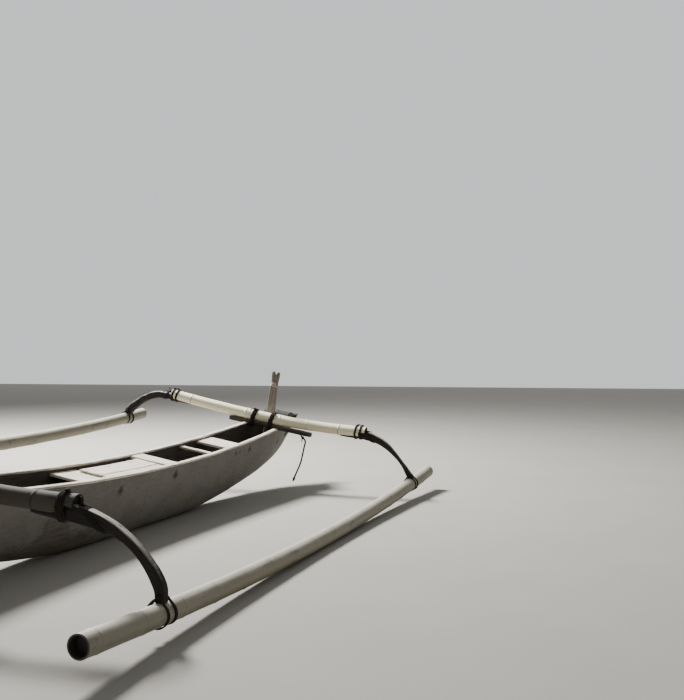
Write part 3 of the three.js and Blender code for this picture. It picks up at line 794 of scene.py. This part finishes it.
class CANOE_OT_stage(bpy.types.Operator):
    """Camera, plain floor, high soft key light from port and a pale surround"""
    bl_idname = "canoe.stage"
    bl_label = "Stage"

    def execute(self, context):
        camera = bpy.data.objects.new("camera", bpy.data.cameras.new("camera"))
        context.collection.objects.link(camera)
        heading = Matrix.Rotation(CAMERA_YAW - math.pi / 2, 4, "Z")
        aim = heading @ Matrix.Rotation(math.pi / 2 + CAMERA_PITCH, 4, "X")
        camera.matrix_world = Matrix.Translation(CAMERA_SPOT) @ aim @ Matrix.Rotation(CAMERA_ROLL, 4, "Z")
        camera.data.lens = CAMERA_LENS
        camera.data.sensor_width = SENSOR_WIDTH
        camera.data.clip_end = 3000
        context.scene.camera = camera

        # The backdrop is a card that stands on the floor, across the camera's view
        away = Vector((math.cos(CAMERA_YAW), math.sin(CAMERA_YAW), 0)) * BACKDROP_DISTANCE
        card_spot = Vector((*CAMERA_SPOT[:2], BACKDROP_SIZE / 2)) + away
        for name, size, spot, turn in (
            ("floor", FLOOR_SIZE, (0, 0, 0), (0, 0, 0)),
            ("backdrop", BACKDROP_SIZE, card_spot, (0, -math.pi / 2, CAMERA_YAW)),
        ):
            bpy.ops.object.select_all(action="DESELECT")
            bpy.ops.mesh.primitive_plane_add(size=size, location=spot, rotation=turn)
            card = context.object
            card.name = name
            card.data.materials.append(finish_named(name))

        bpy.ops.object.light_add(type="AREA", location=LAMP_SPOT)
        lamp = context.object
        lamp.name = "key_lamp"
        lamp.data.shape = "DISK"
        lamp.data.size = LAMP_SIZE
        lamp.data.energy = LAMP_POWER
        lamp.rotation_euler = (LAMP_SPOT - LAMP_AIM).to_track_quat("Z", "Y").to_euler()

        world = bpy.data.worlds.new("studio")
        context.scene.world = world
        world.use_nodes = True
        background = world.node_tree.nodes["Background"].inputs
        background["Color"].default_value = shade(linear("#e9ebec"), 1)
        background["Strength"].default_value = SURROUND_STRENGTH
        return {"FINISHED"}


# Hanging rope

ROPE_RADIUS = 0.010
ROPE_BREADTH = -0.49  # where on the bow crosspiece it hangs, to port of the centreline
# Route from under the starboard end of the bow crosspiece: steps in X, Y and Z, in metres
ROPE_STEPS = [
    (0, 0, 0), (0, -0.001, -0.012), (0, -0.016, -0.029), (0, -0.036, -0.043), (0, -0.048, -0.061),
    (0, -0.050, -0.085), (0, -0.044, -0.110), (0, -0.036, -0.140), (0, -0.029, -0.175), (0, -0.021, -0.210),
    (0, -0.013, -0.245), (0, -0.004, -0.284), (0.001, 0.008, -0.320), (0.002, 0.022, -0.355),
    (0.003, 0.038, -0.390), (0.004, 0.055, -0.425), (0.005, 0.075, -0.470), (0.006, 0.099, -0.527),
]


class CANOE_OT_hanging_rope(bpy.types.Operator):
    """Old rope end that hangs from the starboard end of the bow crosspiece"""
    bl_idname = "canoe.hanging_rope"
    bl_label = "Hanging rope"

    def execute(self, context):
        drop = 4 * GAP + ROPE_RADIUS * math.tan(HEEL)
        start = BOAT @ Vector((BOOM_X, ROPE_BREADTH, CROSSPIECE_BOTTOM - drop))
        route = smooth_route([start + Vector(step) for step in ROPE_STEPS], 4)
        rope = rope_mesh("hanging_rope_line", [route], ROPE_RADIUS)
        finish_piece(rope, "rope", ["hanging_rope"])
        down = Vector((0, 0, -1))
        side = Vector((0, 1, 0))
        upper, lower = route[9], route[-3]
        loose_end = [upper, upper + Vector((0.004, 0.012, -0.020)), upper + Vector((0.004, 0.016, -0.045))]
        routes = [knot_route(upper, 0.015, side, down), loose_end, knot_route(lower, 0.013, side, down)]
        knots = rope_mesh("hanging_rope_knots", routes, 0.0062)
        finish_piece(knots, "rope", [])
        route_length(route)
        return {"FINISHED"}


# Hull

LOG_ROUND = 56  # steps round the log's outside
LOG_INSIDE = 44  # steps round its hollow
STRAKE_ROWS = 13  # rows of points down each face of a washstrake
SEAM_CHAMFER = 0.0003
# Stains that run down below the starboard rail: distance from midship, depth below the sheer, half width
STAINS = [
    (-1.35, 0.108, 0.042), (-0.55, 0.127, 0.052), (0.36, 0.102, 0.058), (1.61, 0.085, 0.036),
    (1.71, 0.093, 0.030), (1.96, 0.102, 0.046), (2.79, 0.178, 0.050),
]
# Upper edge of the bare wood on the hull's sides: place along the boat and height
BARE_LINE = [
    (-3.70, 0.24), (-1.88, 0.21), (-1.58, 0.21), (-1.46, 0.38), (-1.32, 0.36), (-1.07, 0.25), (-0.60, 0.08),
    (-0.20, 0.00), (3.70, 0.00),
]
BARE_FADE = 0.30  # height over which the paint thins out to bare wood


def stain_at(spot):
    """How dark the run below a leak is at this spot of the starboard side"""
    if spot.y > 0:
        return 0.0
    dark = 0.0
    for x, depth, half in STAINS:
        below = sheer(spot.x) - spot.z - depth
        width = half * (0.55 if below < 0 else 1.0)
        away = ((spot.x - x) / width) ** 2 + (below / (0.9 * half)) ** 2
        dark = max(dark, 1 - away)
    return min(1.0, max(0.0, dark) * 1.3)


def bare_at(spot):
    """How far the paint is worn off: low down amidships, higher towards the stern"""
    line = BARE_LINE[0][1]
    for (x0, z0), (x1, z1) in zip(BARE_LINE, BARE_LINE[1:]):
        if spot.x > x0:
            line = z0 + (z1 - z0) * min(1.0, (spot.x - x0) / (x1 - x0))
    line = max(line, section(spot.x, 1) + 0.03)
    return min(1.0, max(0.0, 0.5 + (line - spot.z) / BARE_FADE))


def hull_spot(spot, inside):
    """Vertex of the hull with its wander, its grain and its marks"""
    wear = bpy.context.scene.canoe_sizes.wear
    ridges = stray(Vector((spot.x * 0.2, spot.y, spot.z)), 0.05, wear * 0.3)
    moved = spot + stray(spot, 0.30, wear) + ridges
    return moved, spot, (0, 0, 1) if inside else (stain_at(spot), bare_at(spot), 0)


class CANOE_OT_hull_log(bpy.types.Operator):
    """Dugout log: painted outside, bare inside and darkened there as painted shade, solid at both ends"""
    bl_idname = "canoe.hull_log"
    bl_label = "Hull log"

    def execute(self, context):
        inner_end = OPEN_END + GAP
        middle = [(x, True) for x in spread(-inner_end, inner_end, 0.045)]
        stern = [(x, False) for x in spread(-LOG_END + 0.002, -inner_end, 0.04)]
        bow = [(-x, False) for x, _ in reversed(stern)]
        stations = [*stern, *middle, *bow]
        sides = LOG_ROUND + 3 + LOG_INSIDE + 1

        def place(ring, side):
            x, hollow = stations[ring]
            top = max(seam(x), section(x, 1) + 0.004)
            if side in (0, LOG_ROUND + 2):
                y = breadth(x, top) - SEAM_CHAMFER
                return hull_spot(Vector((x, y if side == 0 else -y, top)), False)
            if side < LOG_ROUND + 2:
                share = (side - 1) / LOG_ROUND
                chamfered = max(top - SEAM_CHAMFER, section(x, 1) + 0.002)
                return hull_spot(girth_point(x, share, 0, 0, chamfered), False)
            share = (side - LOG_ROUND - 3) / LOG_INSIDE
            if hollow:
                return hull_spot(girth_point(x, 1 - share, WALL, FLOOR, top), True)
            y = (breadth(x, top) - SEAM_CHAMFER) * 0.98
            return hull_spot(Vector((x, y * (2 * share - 1), top)), True)

        log = sweep("hull_log_shell", sides, len(stations), place)
        finish_piece(log, "paint", ["hull_log"], 28)
        return {"FINISHED"}


class CANOE_OT_washstrakes(bpy.types.Operator):
    """Thin planks that raise the log's sides, painted outside and bare inside"""
    bl_idname = "canoe.washstrakes"
    bl_label = "Washstrakes"

    def execute(self, context):
        stations = spread(-OPEN_END, OPEN_END, 0.020)
        for side_name, sign in SIDES.items():
            def place(ring, side, sign=sign):
                x = stations[ring]
                low, high = seam(x), sheer(x) - RAIL_HEIGHT
                outside = side < STRAKE_ROWS
                row = side if outside else 2 * STRAKE_ROWS - 1 - side
                z = low + (high - low) * (row / (STRAKE_ROWS - 1))
                # The outside's lowest two rows are the chamfer along the seam
                if outside and row == 1:
                    z = low + SEAM_CHAMFER
                y = breadth(x, z) if outside else breadth(x, z, WALL, FLOOR)
                if outside and row == 0:
                    y -= SEAM_CHAMFER
                return hull_spot(Vector((x, sign * y, z)), not outside)

            name = f"washstrake_{side_name}"
            plank = sweep(f"{name}_plank", 2 * STRAKE_ROWS, len(stations), place)
            finish_piece(plank, "paint", [name], 28)
        return {"FINISHED"}


class CANOE_OT_rails(bpy.types.Operator):
    """Gunwale rails on the washstrakes' upper edges, bleached and rubbed round"""
    bl_idname = "canoe.rails"
    bl_label = "Gunwale rails"

    def execute(self, context):
        sides = 18
        stations = spread(-OPEN_END, OPEN_END, 0.022)
        half_width = (RAIL_INSIDE + RAIL_OVERHANG) / 2
        half_height = (RAIL_HEIGHT - GAP) / 2
        for side_name, sign in SIDES.items():
            def place(ring, side, sign=sign):
                x = stations[ring]
                across, up = rounded(side / sides, half_width, half_height, 0.45)
                middle = section(x, 2) + (RAIL_OVERHANG - RAIL_INSIDE) / 2
                spot = Vector((x, sign * (middle + across), sheer(x) - half_height + up))
                moved = spot + stray(spot, 0.20, 0.0025) + stray(Vector((x * 0.5, across, up)), 0.03, 0.0012)
                return moved, Vector((x, sign * across, up)), (0, 0, 0)

            name = f"gunwale_rail_{side_name}"
            rail = sweep(f"{name}_timber", sides, len(stations), place)
            finish_piece(rail, "rail", [name], 50)
        return {"FINISHED"}


class CANOE_OT_stem_blocks(bpy.types.Operator):
    """Solid carved ends with a raised block, a notch and the stem's tip"""
    bl_idname = "canoe.stem_blocks"
    bl_label = "End blocks"

    def execute(self, context):
        sizes = context.scene.canoe_sizes
        for end in ENDS:
            name = f"stem_block_{end}"
            block = carve(f"{name}_carving", name, lambda p: p, sizes.wear * 1.2, sizes.grain, 4)
            finish_piece(block, "block", [name])
        return {"FINISHED"}


# Inside the hull

THWARTS = ("thwart_stern", "deck_bearer", "thwart_mid", "thwart_fore", "seat_thwart_bow", "seat_thwart_stern")
# Deck boards: each one's edges to port of the centreline, and their ends
DECK = {"port": (-0.085, 0.121), "starboard": (-0.185, -0.095)}
DECK_ENDS = (-0.660, 0.232)
DECK_THICKNESS = 0.020
DECK_DROP = 0.042 - GAP  # from the sheer down to the boards' undersides


class CANOE_OT_thwarts(bpy.types.Operator):
    """Narrow thwarts and wide seats from side to side"""
    bl_idname = "canoe.thwarts"
    bl_label = "Thwarts and seats"

    def execute(self, context):
        sizes = context.scene.canoe_sizes
        for name in THWARTS:
            plank = carve(f"{name}_plank", name, lambda p: (p.y, p.x, p.z), 0.0016, sizes.grain, 2)
            finish_piece(plank, "board", [name], 50)
        return {"FINISHED"}


class CANOE_OT_deck_boards(bpy.types.Operator):
    """Two loose boards laid along the boat on the middle thwarts"""
    bl_idname = "canoe.deck_boards"
    bl_label = "Deck boards"

    def execute(self, context):
        sides = 40
        first, last = DECK_ENDS
        # Each station: place along the boat, and how much of the thickness is left there
        stations = [
            (first, 0.72), (first + 0.002, 0.93),
            *((x, 1) for x in spread(first + 0.006, last - 0.006, 0.016)),
            (last - 0.002, 0.93), (last, 0.72),
        ]
        for side_name, (low, high) in DECK.items():
            def place(ring, side, low=low, high=high):
                x, left = stations[ring]
                half_width = (high - low) / 2 - 0.003 * (1 - left)
                across, up = rounded(side / sides, half_width, DECK_THICKNESS / 2 * left, 0.3)
                middle = (low + high) / 2
                # The boards' sawn ends aren't square, and their long edges wander
                width = 1 + stray(Vector((x, middle, 0)), 0.5, 0.03).x
                near_end = left < 1 or ring < 4
                ragged = stray(Vector((0, middle + across, x)), 0.05, 0.008).x if near_end else 0
                cup = 0.0025 * (across / 0.08) ** 2
                z = sheer(x) - DECK_DROP + DECK_THICKNESS / 2 + up + cup
                spot = Vector((x + ragged, middle + across * width, z))
                return spot + stray(spot, 0.15, 0.0014), Vector((x, middle + across, up)), (0, 0, 0)

            name = f"deck_board_{side_name}"
            board = sweep(f"{name}_plank", sides, len(stations), place)
            finish_piece(board, "board", [name], 45)
        return {"FINISHED"}


# Bamboo

CANE_WALL = 0.010
CANE_SIDES = 40
NODE_STEPS = (-0.024, -0.015, -0.008, -0.004, 0, 0.004, 0.008, 0.015, 0.024)  # rings about a node
# Nodes that both booms have: place, ridge height, how dark the ring is
BOOM_NODES = [
    (-0.550, 0.0014, 0.15), (-0.215, 0.0040, 0.2), (0.215, 0.0040, 0.2), (0.570, 0.0014, 0.15),
    (0.930, 0.0028, 0.9),
]
OUTER_NODES = {"bow": (-0.930, 0.0028, 0.9), "stern": (-0.960, 0.0028, 0.9)}


def cane(name, axis, centre, ends, nodes, radius, bore, cut=None):
    """Bamboo culm along X or Y: centre(at), its cut ends, open as far as the bore, and its nodes.

    nodes gives each one's place, ridge height and how dark its ring is. cut(at) is the least height over
    the centre that is left there.
    """
    start, end = ends
    inner = set(spread(start + 0.02, end - 0.02, 0.030))
    for node, _, _ in nodes:
        inner = {at for at in inner if abs(at - node) > 0.026}
        inner |= {node + step for step in NODE_STEPS}
    if cut:
        for notch in (-BOOM_NOTCH, BOOM_NOTCH):
            inner = {at for at in inner if abs(at - notch) > 0.006} | {notch - 0.0006, notch + 0.0006}
    inner = sorted(at for at in inner if start + 0.004 < at < end - 0.004)
    hollow = radius - CANE_WALL
    # Each station: place, radius, and how far it is sawn face, which is 1 on the ends and in the bore
    stations = [
        (start + bore, hollow, 1), (start, hollow, 1), (start, radius - 0.0015, 1),
        (start + 0.002, radius, 0.4), *((at, radius, 0) for at in inner), (end - 0.002, radius, 0.4),
        (end, radius - 0.0015, 1), (end, hollow, 1), (end - bore, hollow, 1),
    ]
    bounds = [start, *(node[0] for node in nodes), end]

    def place(ring, side):
        at, size, sawn = stations[ring]
        node, height, dark = min(nodes, key=lambda n: abs(n[0] - at))
        off = at - node
        index = sum(at > n[0] for n in nodes)
        middle = (bounds[index] + bounds[index + 1]) / 2
        half = (bounds[index + 1] - bounds[index]) / 2
        if sawn < 0.5:
            # A ridge with a groove beside it, and a slight waist between nodes
            ridge = math.exp(-((off / 0.006) ** 2))
            groove = math.exp(-(((off - 0.012) / 0.004) ** 2))
            size += height * ridge - 0.25 * height * groove
            size += 0.3 * height * math.exp(-abs(off) / 0.03)
            size -= 0.0012 * max(0.0, 1 - abs(at - middle) / half)
        angle = math.tau * side / CANE_SIDES
        lift = noise.noise(Vector((at * 1.2, math.cos(angle) * 0.6, math.sin(angle) * 0.6 + radius))) * 0.0018
        across, up = (size + lift) * math.cos(angle), (size + lift) * math.sin(angle)
        if cut and abs(at) > BOOM_NOTCH:
            up = max(up, cut(at) + (0.004 if sawn == 1 else 0))
        spot = centre(at) + (Vector((0, across, up)) if axis == "X" else Vector((-across, 0, up)))
        tone = 0.5 + 0.5 * noise.noise(Vector((index * 3.7, start, 2)))
        scar = dark * max(0.0, 1 - abs(off) / 0.009)
        return spot, Vector((at, across, up)), (scar, 1 if sawn == 1 else 0, tone)

    return sweep(name, CANE_SIDES, len(stations), place)


def boom_rise(end, y):
    return BOOM_RISES[end]["port" if y > 0 else "starboard"]


def boom_centre(end):
    def centre(y):
        return Vector((ENDS[end] * BOOM_X, y, BOOM_Z + boom_rise(end, y) * (y / RISE_REACH) ** 2))
    return centre


def float_centre(culm):
    def centre(x):
        y = (culm["bow"] + culm["stern"]) / 2 + (culm["bow"] - culm["stern"]) / 2 * x / BOOM_X
        droop = culm["sag"] * (1 - (x / BOOM_X) ** 2)
        return Vector((x, culm["sign"] * y, BOOM_Z - FLOAT_DROP - droop))
    return centre


class CANOE_OT_booms(bpy.types.Operator):
    """Two thick bamboo booms across the hull, bent up towards their ends, which lap over the elbows"""
    bl_idname = "canoe.booms"
    bl_label = "Booms"

    def execute(self, context):
        for end in ENDS:
            centre = boom_centre(end)

            def cut(y, end=end, centre=centre):
                return BOOM_Z + BOOM_CUTS[end]["port" if y > 0 else "starboard"] - centre(y).z

            nodes = [OUTER_NODES[end], *BOOM_NODES]
            boom = cane(f"boom_{end}_culm", "Y", centre, BOOM_ENDS, nodes, BOOM_RADIUS, 0.022, cut)
            # The stern boom's bamboo is coloured very dark, as painted shade
            finish = "bamboo" if end == "bow" else "shade_dark_bamboo"
            finish_piece(boom, finish, [f"boom_{end}"], 35)
        return {"FINISHED"}


class CANOE_OT_floats(bpy.types.Operator):
    """Two long bamboo floats, bowed down amidships, with open cut ends"""
    bl_idname = "canoe.floats"
    bl_label = "Floats"

    def execute(self, context):
        for side, culm in FLOATS.items():
            nodes = []
            at = culm["aft"] + 0.120
            while at < culm["fore"] - 0.060:
                nodes.append((at, 0.0016, 0.12))
                at += FLOAT_NODE_SPACING
            ends = (culm["aft"], culm["fore"])
            piece = cane(f"float_{side}_culm", "X", float_centre(culm), ends, nodes, FLOAT_RADIUS, 0.070)
            finish_piece(piece, "float_bamboo", [f"float_{side}"], 35)
        return {"FINISHED"}


# Timber of the outrigger

BEND_CENTRE = (1.25, BOOM_Z - 0.55)  # the elbows' grain turns about this point
EASED = (math.radians(4), math.radians(64))  # where the elbows' curved faces are evened
THROAT = (0.350, 0.492)  # over the boom's middle: where solid wood joins the fork's two prongs
THROAT_INSET = 0.0035  # how far that wood stays inside their faces
# Middle of the rope round the post
POST_NECK = (BOOM_X + 0.112, -0.021, BOOM_Z + 0.378)


class CANOE_OT_crosspieces(bpy.types.Operator):
    """Thick boards with round ends, notched over the rails, under the booms"""
    bl_idname = "canoe.crosspieces"
    bl_label = "Crosspieces"

    def execute(self, context):
        sizes = context.scene.canoe_sizes
        for end in ENDS:
            name = f"crosspiece_{end}"
            board = carve(f"{name}_board", name, lambda p: (p.y, p.x, p.z), sizes.wear, sizes.grain, 7)
            finish_piece(board, "crosspiece", [name])
        return {"FINISHED"}


def bent_grain(spot):
    """Along the elbow, out from its bend's centre, and across it"""
    out = abs(spot.y) - BEND_CENTRE[0]
    up = spot.z - BEND_CENTRE[1]
    if out < 0:
        return out, up, spot.x
    return 0.6 * math.atan2(out, up), math.hypot(out, up), spot.x


def ease_bend(piece):
    """Take the bumps out of the elbow's two curved faces, between its neck and its foot"""
    step = math.radians(2)
    polar = []
    for vertex in piece.data.vertices:
        spot = UPRIGHT @ vertex.co
        out, up = abs(spot.y) - BEND_CENTRE[0], spot.z - BEND_CENTRE[1]
        polar.append((spot, math.atan2(out, up) / step, math.hypot(out, up)))
    near, far = {}, {}
    for _, row, radius in polar:
        near[round(row)] = min(near.get(round(row), radius), radius)
        far[round(row)] = max(far.get(round(row), radius), radius)
    last = round(EASED[1] / step)

    def eased(limits, row):
        rows = [min(last, max(0, row + i)) for i in range(-5, 6)]
        return sum(limits[i] for i in rows) / len(rows)

    for vertex, (spot, row, radius) in zip(piece.data.vertices, polar):
        if not EASED[0] < row * step < EASED[1]:
            continue
        weight = min(1.0, (row * step - EASED[0]) / 0.15, (EASED[1] - row * step) / 0.12)
        low = int(row)
        t = row - low
        old = [limits[low] * (1 - t) + limits[low + 1] * t for limits in (near, far)]
        new = [eased(limits, low) * (1 - t) + eased(limits, low + 1) * t for limits in (near, far)]
        target = new[0] + (radius - old[0]) / (old[1] - old[0]) * (new[1] - new[0])
        radius += (target - radius) * weight
        y = BEND_CENTRE[0] + radius * math.sin(row * step)
        z = BEND_CENTRE[1] + radius * math.cos(row * step)
        vertex.co = BOAT @ Vector((spot.x, math.copysign(y, spot.y), z))


class CANOE_OT_elbows(bpy.types.Operator):
    """Bent natural crooks from the booms' ends down to the floats"""
    bl_idname = "canoe.elbows"
    bl_label = "Elbows"

    def execute(self, context):
        sizes = context.scene.canoe_sizes
        for end in ENDS:
            for side in SIDES:
                name = f"elbow_{end}_{side}"
                # The one at the bow's port side still has its bark and its lumps
                wear = sizes.wear * (5 if name == "elbow_bow_port" else 1.5)
                elbow = carve(f"{name}_crook", name, bent_grain, wear, sizes.grain * 0.8, 22, 0.0042)
                ease_bend(elbow)
                finish_piece(elbow, "elbow", [name])
        return {"FINISHED"}


def fork_throat(post):
    """The wood between the prongs, up to the shallow notch at the post's top"""
    throat = bare_copy("forked_post_throat", post)
    insets = [vertex.normal * THROAT_INSET for vertex in throat.data.vertices]
    bpy.ops.object.mode_set(mode="EDIT")
    bpy.ops.mesh.select_mode(type="VERT")
    bpy.ops.mesh.select_all(action="DESELECT")
    bpy.ops.object.mode_set(mode="OBJECT")
    for vertex, inset in zip(throat.data.vertices, insets):
        vertex.select = not THROAT[0] < (UPRIGHT @ vertex.co).z - BOOM_Z < THROAT[1]
        vertex.co -= inset
    bpy.ops.object.mode_set(mode="EDIT")
    bpy.ops.mesh.delete(type="VERT")
    bpy.ops.mesh.select_all(action="SELECT")
    bpy.ops.mesh.delete(type="EDGE_FACE")
    bpy.ops.mesh.select_all(action="SELECT")
    bpy.ops.mesh.convex_hull(join_triangles=False)
    bpy.ops.object.mode_set(mode="OBJECT")
    spots = [UPRIGHT @ vertex.co for vertex in throat.data.vertices]
    mark_mesh(throat, [(spot, Vector((spot.z, spot.x, spot.y)), (0, 0, 0)) for spot in spots])
    edit_whole(bpy.ops.mesh.normals_make_consistent, inside=False)
    return throat


class CANOE_OT_post(bpy.types.Operator):
    """Forked post just forward of the bow boom, with rope wound round its neck"""
    bl_idname = "canoe.post"
    bl_label = "Forked post"

    def execute(self, context):
        sizes = context.scene.canoe_sizes
        name = "forked_post"
        post = carve(f"{name}_timber", name, lambda p: (p.z, p.x, p.y), sizes.wear, sizes.grain, 4)
        finish_piece(post, "post", [name])
        finish_piece(fork_throat(post), "post", [])
        radius = sizes.lashing_radius
        binding = wind([post], BOAT @ Vector(POST_NECK), RISE, BEAM, -0.026, 5, 2 * radius, radius)
        finish_piece(rope_mesh(f"{name}_binding", [binding], radius), "pale_rope", [])
        return {"FINISHED"}


# Lashings

HULL_LASHINGS = {"port": 0.100, "starboard": -0.125}  # to port of the centreline
BOOM_LASHING = 1.155  # out from the centreline
BAND_REACH = 0.028  # how far each of the bow boom's two bands of turns is from their middle
# Rope round each elbow's neck: its middle from the centreline and over the boom's, how it slants, turns
NECKS = {
    "bow": {"port": (1.272, 0.002, 0.97, 0.26, 3), "starboard": (1.290, 0.038, 0.76, 0.65, 3)},
    "stern": {"port": (1.365, 0.036, 0.62, 0.78, 4), "starboard": (1.365, 0.036, 0.62, 0.78, 4)},
}
FOOT_HOLE_RISE = 0.032  # the hole in an elbow's foot, above the float's top
FOOT_HOLE_INSET = 0.018


def boom_axes(end, y):
    """Middle of a boom at y, the direction along it to port and the one up from it, in the row's frame"""
    slope = 2 * boom_rise(end, y) * y / RISE_REACH**2
    along = TURN @ Vector((0, 1, slope)).normalized()
    return BOAT @ boom_centre(end)(y), along, AHEAD.cross(along)


class CANOE_OT_boom_lashings(bpy.types.Operator):
    """Rope round the booms: over the hull, and at the ends round the elbows' roots"""
    bl_idname = "canoe.boom_lashings"
    bl_label = "Boom lashings"

    def execute(self, context):
        sizes = context.scene.canoe_sizes
        radius, pitch = sizes.lashing_radius, sizes.turn_pitch
        for end, sign in ENDS.items():
            boom = bpy.data.objects[f"boom_{end}_culm"]
            board = bpy.data.objects[f"crosspiece_{end}_board"]
            for side, out in SIDES.items():
                centre, along, up = boom_axes(end, HULL_LASHINGS[side])
                inner = wind([boom, board], centre, along, up, -2.5 * pitch, 6, pitch, radius)
                outer = wind([boom, board], centre, along, up, -1.5 * pitch, 3, pitch * 1.3, 2.7 * radius)
                knot = top_of(outer, centre, up) + up * radius - AHEAD * 0.03
                loose_end = tail(knot, (-sign, 0.4 * out, 0.25), 0.07)
                routes = [inner, outer, knot_route(knot, 0.014, AHEAD, along), loose_end]
                tie(f"hull_lashing_{end}_{side}", routes, radius)

                ends = [boom, bpy.data.objects[f"elbow_{end}_{side}_crook"]]
                centre, along, up = boom_axes(end, out * BOOM_LASHING)
                centre -= up * 0.012
                if end == "stern":
                    inner = wind(ends, centre, along, up, -2.7 * pitch, 6, pitch, radius)
                    outer = wind(ends, centre, along, up, -1.5 * pitch, 3, pitch * 1.2, 2.6 * radius)
                    knot = top_of(outer, centre, up) + up * radius
                    loose_end = tail(knot, (-1, 0.5 * out, 0.6), 0.05, 0.3)
                    routes = [inner, outer, knot_route(knot, 0.014, AHEAD, along), loose_end]
                else:
                    # Two bands of turns, and a loop of rope from one to the other
                    routes = []
                    for middle in (-BAND_REACH, BAND_REACH):
                        first = middle - 1.5 * pitch
                        band = wind(ends, centre, along, up, first, 3, pitch * 0.9, radius)
                        knot = top_of(band, centre, up) + up * 1.5 * radius
                        routes.extend([band, knot_route(knot, 0.013, AHEAD, along)])
                    crest = centre + up * (BOOM_RADIUS + 0.010)
                    shares = (-1, -0.7, -0.35, 0, 0.35, 0.7, 1)
                    routes.append([crest + along * BAND_REACH * s + up * 0.024 * (1 - s * s) for s in shares])
                tie(f"boom_lashing_{end}_{side}", routes, radius)
        return {"FINISHED"}


class CANOE_OT_neck_bindings(bpy.types.Operator):
    """Rope wound aslant round each elbow's neck, just beyond the boom's end"""
    bl_idname = "canoe.neck_bindings"
    bl_label = "Neck bindings"

    def execute(self, context):
        sizes = context.scene.canoe_sizes
        radius, pitch = sizes.lashing_radius, sizes.turn_pitch
        for end, sign in ENDS.items():
            for side, out in SIDES.items():
                y, z, lean_out, lean_up, turns = NECKS[end][side]
                elbow = bpy.data.objects[f"elbow_{end}_{side}_crook"]
                centre = BOAT @ Vector((sign * BOOM_X, out * y, BOOM_Z + z))
                along = TURN @ Vector((0, out * lean_out, lean_up)).normalized()
                up = AHEAD.cross(along) * out
                band = wind([elbow], centre, along, up, -turns * pitch / 2, turns, pitch, radius)
                knot = top_of(band, centre, up) + up * radius
                routes = [
                    band, knot_route(knot, 0.015, AHEAD, along),
                    tail(knot, (-0.2, 0.1 * out, 1), 0.055, 0.1), tail(knot, (-0.3, out, 0.25), 0.09, 0.3),
                ]
                piece = rope_mesh(f"neck_binding_{end}_{side}", routes, radius)
                finish_piece(piece, "rope", [])
        return {"FINISHED"}


class CANOE_OT_float_lashings(bpy.types.Operator):
    """Rope round the floats on both sides of each elbow's foot, tied through the hole in it"""
    bl_idname = "canoe.float_lashings"
    bl_label = "Float lashings"

    def execute(self, context):
        radius = context.scene.canoe_sizes.lashing_radius
        half = ELBOW_WIDTH / 2
        for end, sign in ENDS.items():
            for side, culm in FLOATS.items():
                tree = skin(bpy.data.objects[f"float_{side}_culm"])
                middle = float_centre(culm)(sign * BOOM_X)
                centre = BOAT @ middle
                up_in = Vector((0, -culm["sign"] * FOOT_HOLE_INSET, FLOAT_RADIUS + FOOT_HOLE_RISE))
                hole = BOAT @ (middle + up_in)
                routes = []
                for lean in (-1, 1):
                    for turn in range(3):
                        # A turn stands further out from the foot under the float than at the hole
                        low = lean * (half + 0.010 + 0.0094 * turn)
                        high = lean * (half + 0.003 + 0.005 * turn)
                        reaches = taut_outline([tree], centre, BEAM, RISE, radius * (1 + 0.15 * turn), [hole])
                        route = []
                        for i in range(TURN_STEPS + 1):
                            angle = math.tau * i / TURN_STEPS
                            share = 0.5 + 0.5 * math.sin(angle)
                            out = BEAM * math.cos(angle) + RISE * math.sin(angle)
                            foot = centre + AHEAD * (low + (high - low) * share)
                            route.append(foot + out * reaches[i % TURN_STEPS])
                        routes.append(route)
                for drop in (-0.004, 0.004):
                    through = (-half - 0.006, 0, half + 0.006)
                    routes.append([hole + AHEAD * x + RISE * drop for x in through])
                knot = hole - AHEAD * (half + 0.012)
                routes.extend([knot_route(knot, 0.015, BEAM, RISE), tail(knot, (-1, 0.8, -0.2), 0.06)])
                tie(f"float_lashing_{end}_{side}", routes, radius)
        return {"FINISHED"}


class CANOE_PT_panel(bpy.types.Panel):
    """Sizes, colours and the steps that build the canoe"""
    bl_idname = "CANOE_PT_panel"
    bl_label = "Outrigger canoe"
    bl_space_type = "VIEW_3D"
    bl_region_type = "UI"
    bl_category = "Canoe"

    def draw(self, context):
        for group in (context.scene.canoe_sizes, context.scene.canoe_colours):
            column = self.layout.column(align=True)
            for name in group.__annotations__:
                column.prop(group, name)
        for step in STEPS:
            self.layout.operator(step.bl_idname)


STEPS = (
    CANOE_OT_stage, CANOE_OT_hanging_rope, CANOE_OT_hull_log, CANOE_OT_washstrakes, CANOE_OT_rails,
    CANOE_OT_stem_blocks, CANOE_OT_thwarts, CANOE_OT_deck_boards, CANOE_OT_booms, CANOE_OT_floats,
    CANOE_OT_crosspieces, CANOE_OT_elbows, CANOE_OT_post, CANOE_OT_boom_lashings, CANOE_OT_neck_bindings,
    CANOE_OT_float_lashings,
)
CLASSES = (CanoeSizes, CanoeColours, *STEPS, CANOE_PT_panel)


def register():
    for cls in CLASSES:
        bpy.utils.register_class(cls)
    bpy.types.Scene.canoe_sizes = PointerProperty(type=CanoeSizes)
    bpy.types.Scene.canoe_colours = PointerProperty(type=CanoeColours)


def unregister():
    del bpy.types.Scene.canoe_colours
    del bpy.types.Scene.canoe_sizes
    for cls in reversed(CLASSES):
        bpy.utils.unregister_class(cls)


def main():
    register()
    # Without this, the noise starts from the clock, and no two runs give the timber the same faces
    noise.seed_set(NOISE_SEED)
    for step in STEPS:
        group, name = step.bl_idname.split(".")
        getattr(getattr(bpy.ops, group), name)()


if __name__ == "__main__":
    main()
